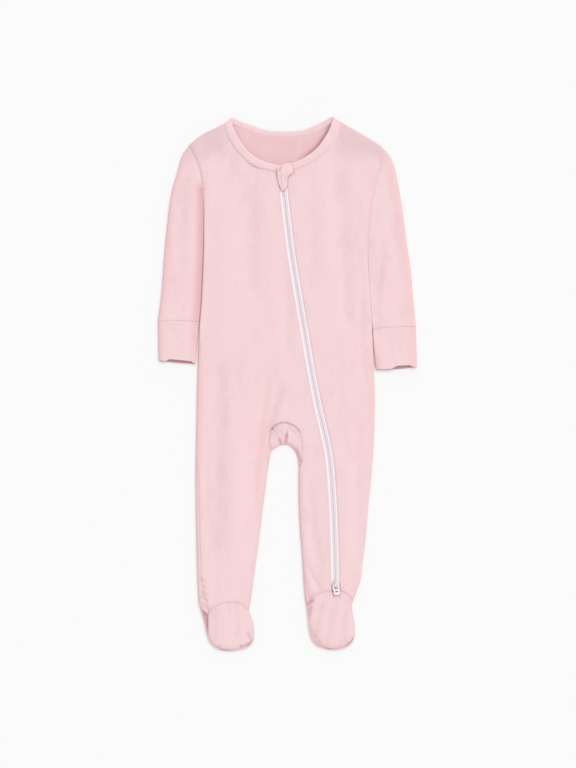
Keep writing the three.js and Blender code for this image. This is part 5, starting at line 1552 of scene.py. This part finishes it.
@dataclass
class Feet:
    """Tops and soles of both feet."""

    lay: Lay
    heels: Sequence[Array]  # the seams over the heels
    finishes: Finishes
    top_flat: tuple[float, float] = (0.064, 0.076)
    sole_flat: tuple[float, float] = (0.074, 0.100)
    gather: float = 0.34  # depth of the gathers round the toe
    sole_thickness: float = 1.9

    def _sides(self, outline: Sequence, up: Array,
               across: Array) -> tuple[Array, Array, Array]:
        """Left edge, right edge and tip of a foot from its outline."""
        return (sample(outline, (1 - up) * TOE_FROM), sample(outline, TOE_TO + up * (1 - TOE_TO)),
                sample(outline, TOE_FROM + across * (TOE_TO - TOE_FROM)))

    def top(self, side: Side) -> Object:
        """Top of a foot, between its seam to the leg and the sole."""
        foot = LEFT_FOOT if side is Side.LEFT else RIGHT_FOOT
        across, up = graded(54, 1.5), graded(58, 1.5)
        left, right, tip = self._sides(foot["top"], up, across)
        seam_line = smooth_line(foot["seam"])
        seam = offset(along(seam_line, across), ANKLE_SEAM_GAP)
        left[-1], right[-1] = seam[0], seam[-1]
        own = Lay([sample(foot["top"], even(61))], [Seam(seam_line, *ANKLE_GROOVE)],
                  gather=self.gather)
        shell = ClothShell().patch(own.front(fill(tip, seam, left, right)))
        return declare_cloth(shell, f"cloth_foot_{side.value}", self.finishes.jersey, Slot.JERSEY,
                             f"foot_top_{side.value}")

    def sole(self, side: Side) -> Object:
        """Sole of a foot; its edge turns up round the toe."""
        foot = LEFT_FOOT if side is Side.LEFT else RIGHT_FOOT
        seam = self.heels[0 if side is Side.LEFT else 1]
        across, up = shares_of(np.stack([seam[:, 0], np.zeros(len(seam))], 1)), graded(90, 2.4)
        left, right, tip = self._sides(foot["outline"], up, across)
        heel = offset(seam, HEEL_SEAM_GAP)
        left[-1], right[-1] = heel[0], heel[-1]
        sole_lay = Lay([sample(foot["outline"], even(90))], thickness=self.sole_thickness)
        grid = fill(tip, heel, left, right)
        walls = sole_lay.back(grid)
        self._shade(side, grid, walls[2])
        shell = ClothShell().patch(walls, True)
        return declare_cloth(shell, f"cloth_sole_{side.value}", self.finishes.jersey, Slot.JERSEY,
                             f"sole_{side.value}")

    @staticmethod
    def _shade(side: Side, grid: Array, painted_light: Array) -> None:
        """Paints shade on the sole where it turns up at the tip of the toe and at the left ankle, and weakens
        its painted pink.
        """
        x, y = grid[..., 0], grid[..., 1]
        middle = -81.0 if side is Side.LEFT else 54.0
        dark = 2.2 * np.exp(-(((x - middle) / 9) ** 2)) * smoothstep(-y, 338, 345)
        if side is Side.LEFT:
            dark += 1.8 * smoothstep(-x, 100, 104) * smoothstep(-y, 292, 300) * (1 - smoothstep(-y, 322, 332))
        painted_light[..., 2] += 1.1 * dark
        painted_light[..., 0] += 1.2 * dark
        painted_light[..., 1] *= 0.3


@dataclass
class Neck:
    """Neckband and the small guard over the top of the zip."""

    lay: Lay
    finishes: Finishes
    half: float = 1.2  # half of the band's thickness
    lift: float = 1.6  # how much higher the free edge stands at the right of the neck
    lift_middle: float = 44.0  # where along X it stands highest
    lift_reach: float = 20.0
    band_width: float = 19.5  # of the flat cloth, folded lengthwise
    guard_clearance: float = 0.3
    guard_thickness: float = 1.9

    def __post_init__(self) -> None:
        """Works out the band's two edges."""
        table = np.array(NECKBAND)
        self.sewn = smooth_line(table[:, [0, 1, 4]], 12)
        self.free = smooth_line(table[:, [2, 3, 4]], 12)

    def band_point(self, share: float, side: float) -> Array:
        """Line on the band at one place of its cross-section.

        Args:
            share: How far from the sewn edge to the free edge, 0 to 1.
            side: How far to the top (1) or the underside (-1).

        Returns:
            Points along the band, in millimetres.
        """
        overlap = BAND_OVERLAP / np.linalg.norm(self.free - self.sewn, axis=1)[:, None]
        start = self.sewn - overlap * (self.free - self.sewn)
        s = shares_of(self.sewn) * length_of(self.sewn)
        wave = 0.10 * np.sin(s * 0.21 + 1) + 0.07 * np.sin(s * 0.53) + 0.05 * np.sin(s * 1.05 + 2)
        line = start + share * (self.free - start)
        behind = smoothstep(-line[:, 2], -4.5, -2.0)
        place = (line[:, 0] - self.lift_middle) / self.lift_reach
        lifted = self.lift * np.exp(-(place ** 2)) * smoothstep(line[:, 2], 4, 6)
        line[:, 2] += side * self.half * (1 - 0.6 * behind) - 0.6 * behind + (wave + lifted) * share
        return line

    def band(self) -> Object:
        """The neckband: two layers of cloth on a fold."""
        rings = np.stack([self.band_point(*place) for place in BAND_PROFILE], 1)
        points, faces = bar(rings)
        obj = make_object("cloth_neckband", points, faces, self.finishes.trim)
        s = shares_of(self.sewn) * length_of(self.sewn)
        shape = rings.shape[:2]
        across = [10 * p[0] for p in BAND_PROFILE]
        store(obj, "weave", np.stack([np.broadcast_to(s[:, None], shape), np.broadcast_to(across, shape),
                                      np.zeros(shape)], -1))
        store(obj, "painted_light", np.zeros(rings.shape))
        declare(obj, Body.SUIT, Slot.TRIM, "neckband")
        return declare_sheet(obj)

    def guard(self) -> Object:
        """The folded guard that covers the top of the zip."""
        across, up = graded(20, 0.5, 6, 6), graded(36, 0.6, 6, 6)
        top = sample(GUARD_TOP, across)
        left, right = sample(GUARD_LEFT, 1 - up), sample(GUARD_RIGHT, 1 - up)
        grid = fill(straight(left[0], right[0], across), top, left, right)
        xy = grid.reshape(-1, 2)
        edge = Outline([left, right, np.stack([left[0], right[0]])]).nearest(xy)[0]
        distance = self.lay.outline.nearest(xy)[0]
        under = self.lay.height_at_edge + self.lay.rise * (1 - np.exp(-distance / self.lay.rise_length))
        band_top = NECKBAND[0][4] + self.half
        base = under + (band_top - under) * smoothstep(xy[:, 1], 262, NECKBAND[0][1])
        dents = Lay.creased(xy, GUARD_CREASES)
        roll = 1.1 * (1 - np.sqrt(1 - (1 - np.clip(edge / 1.6, 0, 1)) ** 2))
        merged = 1.5 * smoothstep(xy[:, 1], 274, 284)
        z = base + self.guard_clearance + self.guard_thickness - merged - roll
        z -= dents * smoothstep(edge, 0.2, 1.5)
        outer = np.column_stack([xy, z]).reshape(*grid.shape[:2], 3)
        inner = np.column_stack([xy, base + 0.35]).reshape(*grid.shape[:2], 3)
        # Painted shade at the guard's rolled edges and in its dents, painted pink near its edges
        dark = 1.5 * np.exp(-edge / 0.8) + 1.5 * np.maximum(dents, 0)
        painted_light = np.column_stack([0.5 * dents, np.exp(-edge / 2), dark])
        shell = ClothShell(grain=20).patch((outer, inner, painted_light.reshape(outer.shape)))
        return declare_cloth(shell, "cloth_zip_guard", self.finishes.trim, Slot.TRIM, "zip_guard")


@dataclass
class Zip:
    """Tapes, coil, bottom slider and pull tab."""

    edges: Sequence[Array]
    finishes: Finishes
    x: float = 62.4  # middle of the slider
    y: float = -261.5
    bottom: float = -268.5  # lower end of the tapes
    top: float = 268.0
    tape_thickness: float = 0.6
    tape_width: float = 10.6
    tape_drop: float = 0.95  # how far the tapes lie below the front
    coil_top: float = 262.0
    coil_bottom: float = -257.4
    pitch: float = 1.3  # of the teeth
    wire: float = 0.46  # thickness of a tooth
    slider_half: float = 3.8  # half width of the slider
    slider_tail: float = 2.6  # half width of its end with the tab's crown
    slider_end: float = 4.7  # half length
    pivot: float = 8.1  # height that the tab turns at
    tab_lean: float = 9.0  # how far the tab leans to the side, in degrees
    sharp_angle: float = 40.0  # edges of the metal that turn by more stay sharp, in degrees

    def tape(self, side: int) -> Object:
        """One tape, from under the teeth to its edge hidden under the front."""
        insets = np.array([0.25, 1.2, 2.3, 2.7, 3.6, 4.6, 5.6, 7.6, 9.6, 9.9])
        if side < 0:
            insets = insets[::-1]
        y = np.linspace(self.bottom, self.top, 216)
        x = zip_line(y)[:, None] + side * insets
        grid = np.stack([x, np.broadcast_to(y[:, None], x.shape)], -1)
        lay = Lay(self.edges, drop=self.tape_drop, thickness=self.tape_thickness)
        outer, inner, painted_light = lay.front(grid)
        away = np.abs(grid[..., 0] - zip_line(grid[..., 1]))
        # Painted shadow of the coil on the tape beside the teeth
        painted_light[..., 0] = 1 - smoothstep(away, 2.4, 4.0)
        under_teeth = 1.2 * smoothstep(-away, -2.9, -2.1)
        outer[..., 2] -= under_teeth
        inner[..., 2] -= under_teeth
        name = "left" if side < 0 else "right"
        shell = ClothShell().patch((outer, inner, painted_light))
        obj = declare(shell.build(f"zip_tape_{name}_weave", self.finishes.tape), Body.SUIT, Slot.TAPE,
                      f"zip_tape_{name}")
        return declare_sheet(obj)

    def coil(self) -> Object:
        """The closed row of teeth."""
        y = np.linspace(self.coil_top, self.coil_bottom, 260)
        line = np.stack([zip_line(y), y], 1)
        lay = Lay(self.edges)
        distance = lay.outline.nearest(line)[0]
        path = np.column_stack([line, lay.height(line, distance) - 1.05])
        tree = coil_tree()
        obj = run_nodes("zip_coil_teeth", [path], tree, {
            "Pitch": self.pitch * MM, "Half Width": 2.4 * MM, "Wire": self.wire * MM,
            "Material": self.finishes.coil})
        return declare(obj, Body.SUIT, Slot.COIL, "zip_chain")

    def _plate(self, name: str, outlines: Sequence[Array], bottom: float, top: float,
               bevel: float) -> Object:
        """Flat plate with rounded edges.

        Args:
            name: Name of the object.
            outlines: Outlines in millimetres; the later ones are holes.
            bottom: Height of its underside.
            top: Height of its upper face.
            bevel: Radius of its edges.

        Returns:
            The object, without a finish.
        """
        curve = bpy.data.curves.new(name, "CURVE")
        curve.dimensions = "2D"
        curve.fill_mode = "BOTH"
        half = (top - bottom) / 2
        curve.extrude = (half - bevel) * MM
        curve.bevel_depth = bevel * MM
        curve.bevel_resolution = 3
        curve.offset = -bevel * MM
        for outline in outlines:
            spline = curve.splines.new("POLY")
            spline.points.add(len(outline) - 1)
            for point, (x, y) in zip(spline.points, outline):
                point.co = (x * MM, y * MM, 0, 1)
            spline.use_cyclic_u = True
        source = add_object(name + "_curve", curve)
        graph = bpy.context.evaluated_depsgraph_get()
        mesh = bpy.data.meshes.new_from_object(source.evaluated_get(graph))
        bpy.data.objects.remove(source)
        shape = bmesh.new()
        shape.from_mesh(mesh)
        bmesh.ops.remove_doubles(shape, verts=shape.verts, dist=2e-6)
        bmesh.ops.recalc_face_normals(shape, faces=shape.faces)
        bmesh.ops.translate(shape, verts=shape.verts, vec=(0, 0, (bottom + half) * MM))
        shape.to_mesh(mesh)
        shape.free()
        mesh.shade_smooth()
        return add_object(name, mesh)

    def slider(self) -> Object:
        """The slider: two plates with side walls, and the crown that holds the tab."""
        half, tail, end = self.slider_half, self.slider_tail, self.slider_end
        side = [(tail, end), (tail + 0.5, end * 0.62), (half - 0.12, end * 0.1), (half, -end * 0.4),
                (half - 0.25, -end * 0.72), (half * 0.62, -end * 0.97), (half * 0.2, -end)]
        right = sample(side, even(22))
        outline = np.vstack([right, right[::-1] * [-1, 1]])[::-1]
        post = np.array([(-0.9, -4.3), (0.9, -4.3), (0.9, -2.4), (-0.9, -2.4)])
        parts = [self._plate("slider_low", [outline], 1.7, 2.6, 0.3),
                 self._plate("slider_high", [outline], 5.6, 6.9, 0.45),
                 self._plate("slider_post", [post], 2.0, 6.5, 0.2)]
        for x in (-1, 1):
            wall = np.array([(x * 3.0 - 0.35, -2.4), (x * 3.0 + 0.35, -2.4), (x * 2.75 + 0.35, 2.0),
                             (x * 2.75 - 0.35, 2.0)])
            parts.append(self._plate(f"slider_wall_{x}", [wall], 4.7, 6.3, 0.15))
        path = smooth_line([(0, -3.05, 6.6), (0, -3.05, 8.4), (0, -2.5, 9.4), (0, -1.2, 9.72), (0, 1.2, 9.72),
                            (0, 2.5, 9.4), (0, 3.05, 8.4), (0, 3.05, 6.6)], 6)
        tangent = np.gradient(path, axis=0)
        tangent /= np.linalg.norm(tangent, axis=1)[:, None]
        across = np.array([1.0, 0, 0])
        out = np.cross(across, tangent)
        profile = [(-1.0, -0.3), (-0.8, -0.48), (0.8, -0.48), (1.0, -0.3), (1.0, 0.3), (0.8, 0.48),
                   (-0.8, 0.48), (-1.0, 0.3)]
        rings = np.stack([path + a * across + b * out for a, b in profile], 1)
        points, faces = bar(rings)
        parts.append(make_object("slider_crown", points, faces, self.finishes.enamel, self.sharp_angle))
        return self._join(parts, "zip_slider_body", 0.0, Body.SUIT, "zip_slider", self.finishes.worn)

    def tab(self) -> Object:
        """The pull tab: a flat ring whose upper bar turns in the crown."""
        outline = self._round_ended(-0.65, 13.65, 7.8, 2.5)
        waist = 1 - 0.10 * np.exp(-(((outline[:, 1] + 6.4) / 2.6) ** 2))
        outline[:, 0] *= waist
        holes = [self._round_ended(0.65, 5.0, 4.6, 1.7), self._round_ended(7.6, 2.2, 4.0, 1.0)]
        tab = self._plate("tab_ring", [outline, *holes], -0.6, 0.6, 0.32)
        rim = self._plate("tab_lip", [self._round_ended(7.0, 3.4, 5.2, 1.5), holes[1]], 0.3, 0.78, 0.14)
        for part in (tab, rim):
            for vertex in part.data.vertices:
                vertex.co.z += self.pivot * MM
        return self._join([tab, rim], "zip_pull_tab_ring", math.radians(self.tab_lean), Body.TAB,
                          "zip_pull_tab", self.finishes.enamel)

    @staticmethod
    def _round_ended(start: float, length: float, width: float, radius: float) -> Array:
        """Rounded rectangle that reaches down from a given distance below the pivot."""
        x_right, y_top, y_low = width / 2 - radius, -start - radius, -start - length + radius
        centres = [(x_right, y_top, 0), (-x_right, y_top, 90), (-x_right, y_low, 180), (x_right, y_low, 270)]
        points = []
        for x, y, first in centres:
            for angle in np.radians(first + np.linspace(0, 90, 8)):
                points.append((x + radius * math.cos(angle), y + radius * math.sin(angle)))
        return np.array(points)

    def _join(self, parts: Sequence[Object], name: str, turn: float, body: Body,
              node: str, material: Material) -> Object:
        """Joins parts about the slider's middle into one object in the shared frame.

        Args:
            parts: The parts, which are removed.
            name: Name of the object.
            turn: How far they are turned about Z, in radians.
            body: The body that it rides on.
            node: The solid that it stands for.
            material: Its finish.

        Returns:
            The object.
        """
        shape = bmesh.new()
        for part in parts:
            shape.from_mesh(part.data)
        cos, sin = math.cos(turn), math.sin(turn)
        for v in shape.verts:
            x, y = v.co.x, v.co.y
            v.co.x = cos * x - sin * y + self.x * MM
            v.co.y = sin * x + cos * y + self.y * MM
        mesh = bpy.data.meshes.new(name)
        shape.to_mesh(mesh)
        shape.free()
        mesh.materials.append(material)
        mesh.set_sharp_from_angle(angle=math.radians(self.sharp_angle))
        for part in parts:
            bpy.data.objects.remove(part)
        obj = add_object(name, mesh)
        # Painted shade on the enamel where its faces turn away from straight up
        up = np.empty(len(mesh.vertices) * 3)
        mesh.vertex_normals.foreach_get("vector", up)
        side = 1 - smoothstep(np.abs(up.reshape(-1, 3)[:, 2]), 0.35, 0.8)
        store(obj, "side", np.repeat(side[:, None], 3, 1))
        return declare(obj, body, Slot.ENAMEL, node)


@dataclass
class Sewing:
    """Rows of stitches that show."""

    lay: Lay
    neck: Neck
    finishes: Finishes
    pitch: float = 2.7  # from one stitch to the next
    length: float = 2.0
    thickness: float = 0.42
    lift: float = 0.08  # how far the thread lies above the cloth
    from_zip: float = 2.1  # from the edge of the opening to the row beside it
    seed: int = 3

    def build(self) -> Object:
        """All rows as one mesh."""
        lines = []
        y = np.linspace(-262, 268, 266)
        for side in (-1, 1):
            row = np.stack([zip_line(y) + side * (ZIP_OPENING + self.from_zip), y], 1)
            lines.append(self.lay.on_front(row, self.lift))
        for share in (0.29, 0.60):
            lines.append(self.neck.band_point(share, 0.93))
        for shift in (-1.7, -3.6):
            for foot in (LEFT_FOOT, RIGHT_FOOT):
                row = offset(sample(foot["seam"], np.linspace(0.03, 0.97, 60)), shift)
                lines.append(self.lay.on_front(row, self.lift))
        lines.append(self.lay.on_front(arch_line(-1.9)[6:-6], self.lift))
        obj = run_nodes("sewing_rows", lines, stitch_tree(), {
            "Pitch": self.pitch * MM, "Length": self.length * MM, "Thickness": self.thickness * MM,
            "Seed": self.seed, "Material": self.finishes.thread})
        return declare(obj, Body.SUIT, Slot.JERSEY)


@dataclass
class Studio:
    """Floor, lights and camera."""

    finishes: Finishes
    floor_half: float = 4000.0
    floor_level: float = -0.3
    sky: float = 0.575  # strength of the white all round
    key_width: float = 60.0  # how broad the key light looks from the garment, in degrees
    key_lean: float = 25.0  # how far it leans from straight above, in degrees
    key_turn: float = 46.0  # which side it leans to, in degrees from +X towards +Y
    key_strength: float = 1.80
    distance: float = 2.4  # of the camera, in metres
    pixel: float = 1.3  # size of one of the photo's pixels on the garment
    rows: int = 768  # of pixels in the photo

    def build(self) -> None:
        """Adds everything that isn't part of the garment."""
        half, low = self.floor_half, self.floor_level
        corners = np.array([(-half, -half, low), (half, -half, low), (half, half, low), (-half, half, low)])
        floor = make_object("floor", corners, [[0, 1, 2, 3]], self.finishes.floor)
        scene = bpy.context.scene
        world = bpy.data.worlds.new("soft_white")
        world.use_nodes = True
        back = world.node_tree.nodes["Background"]
        back.inputs["Color"].default_value = (1, 1, 1, 1)
        back.inputs["Strength"].default_value = self.sky
        scene.world = world
        self._key()
        scene.view_settings.view_transform = "Standard"
        height = self.rows * self.pixel * MM
        camera = bpy.data.cameras.new("camera")
        camera.lens = camera.sensor_width * self.distance / height
        camera.clip_end = 20
        obj = add_object("camera", camera)
        obj.location = (0.5 * self.pixel * MM, -0.5 * self.pixel * MM, self.distance + 5 * MM)
        scene.camera = obj

    def _key(self) -> None:
        """Adds the broad key light."""
        light = bpy.data.lights.new("key", "SUN")
        light.angle = math.radians(self.key_width)
        light.energy = self.key_strength
        obj = add_object("key", light)
        obj.location = (1.0, 1.0, 1.5)
        obj.rotation_euler = (0, math.radians(self.key_lean), math.radians(self.key_turn))


def sewn_lines() -> tuple[list[Seam], dict[str, list[Seam]]]:
    """Seams of the body, and those of each sleeve and cuff."""
    fine = even(120)
    zip_y = np.linspace(-268, 268, 180)
    armhole_left = Seam(sample(LEFT_ARMHOLE, fine), 0.95, 1.7, 0.14, 6)
    low_right = edge_along_y(right_side, *RIGHT_UNDERARM, 4)
    armhole_right = Seam(np.vstack([low_right, sample(RIGHT_ARMHOLE, fine)]), 0.2, 1.5, 0.14, 6)
    body = [
        Seam(sample(NECK_SEAM[:BAND_TURN_RIGHT + 1], fine), 0.25, 1.4, 0.16, 6),
        Seam(sample(NECK_SEAM[BAND_TURN_LEFT:], fine), 0.4, 1.2, 0.16, 6),
        armhole_left, armhole_right,
        Seam(arch_line(0)[30:74], 1.5, 1.1, 0.25, 6),
        Seam(arch_line(0)[:31], 0.85, 1.1, 0.2, 5),
        Seam(arch_line(0)[73:100], 0.5, 1.2, 0.2, 5),
        Seam(np.array([(-113.4, -292.6), (-108.5, -296.5), (-103.6, -300.6)]), 0.9, 1.3, 0.2, 4),
        Seam(smooth_line(LEFT_FOOT["seam"]), *ANKLE_GROOVE),
        Seam(smooth_line(RIGHT_FOOT["seam"]), *ANKLE_GROOVE),
        Seam(edge_along_y(wrap_edge, -95, -294), 0.5, 1.1, 0.15, 4),
        Seam(np.stack([zip_line(zip_y) - ZIP_OPENING, zip_y], 1), 0.55, 0.8, 0.07, 5),
        Seam(np.stack([zip_line(zip_y) + ZIP_OPENING, zip_y], 1), 0.55, 0.8, 0.07, 5),
    ]
    cuffs = {}
    for side, cuff in ((Side.LEFT, CUFF_LEFT), (Side.RIGHT, CUFF_RIGHT)):
        ends = np.array(cuff["seam"], float)
        cuffs[side] = Seam(straight(ends[0], ends[1], fine) + bow(side, fine), 0.45, 1.0, 0.2, 4)
    arms = {"left": [armhole_left, cuffs[Side.LEFT]], "right": [armhole_right, cuffs[Side.RIGHT]],
            "cuff_left": [cuffs[Side.LEFT]], "cuff_right": [cuffs[Side.RIGHT]]}
    return body, arms


def main() -> None:
    """Builds the sleepsuit, piece by piece."""
    logging.basicConfig(level=logging.INFO, format="%(message)s")
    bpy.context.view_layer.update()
    finishes = Finishes.make()
    edges = build_edges()
    seams, arm_seams = sewn_lines()
    lay = Lay(edges["body"], seams)
    torso = Torso(lay, Lay(edges["body"], seams, split=0), finishes)
    torso.front_main()
    torso.front_side()
    torso.back_panel()
    torso.gusset()
    sleeves = Sleeves(edges, arm_seams, finishes)
    feet = Feet(lay, torso.heels, finishes)
    for side in Side:
        sleeves.sleeve(side)
        sleeves.cuff(side)
        feet.top(side)
        feet.sole(side)
    neck = Neck(lay, finishes)
    neck.band()
    neck.guard()
    zip_parts = Zip(edges["body"], finishes)
    zip_parts.tape(-1)
    zip_parts.tape(1)
    zip_parts.coil()
    zip_parts.slider()
    zip_parts.tab()
    Sewing(lay, neck, finishes).build()
    Studio(finishes).build()


if __name__ == "__main__":
    main()
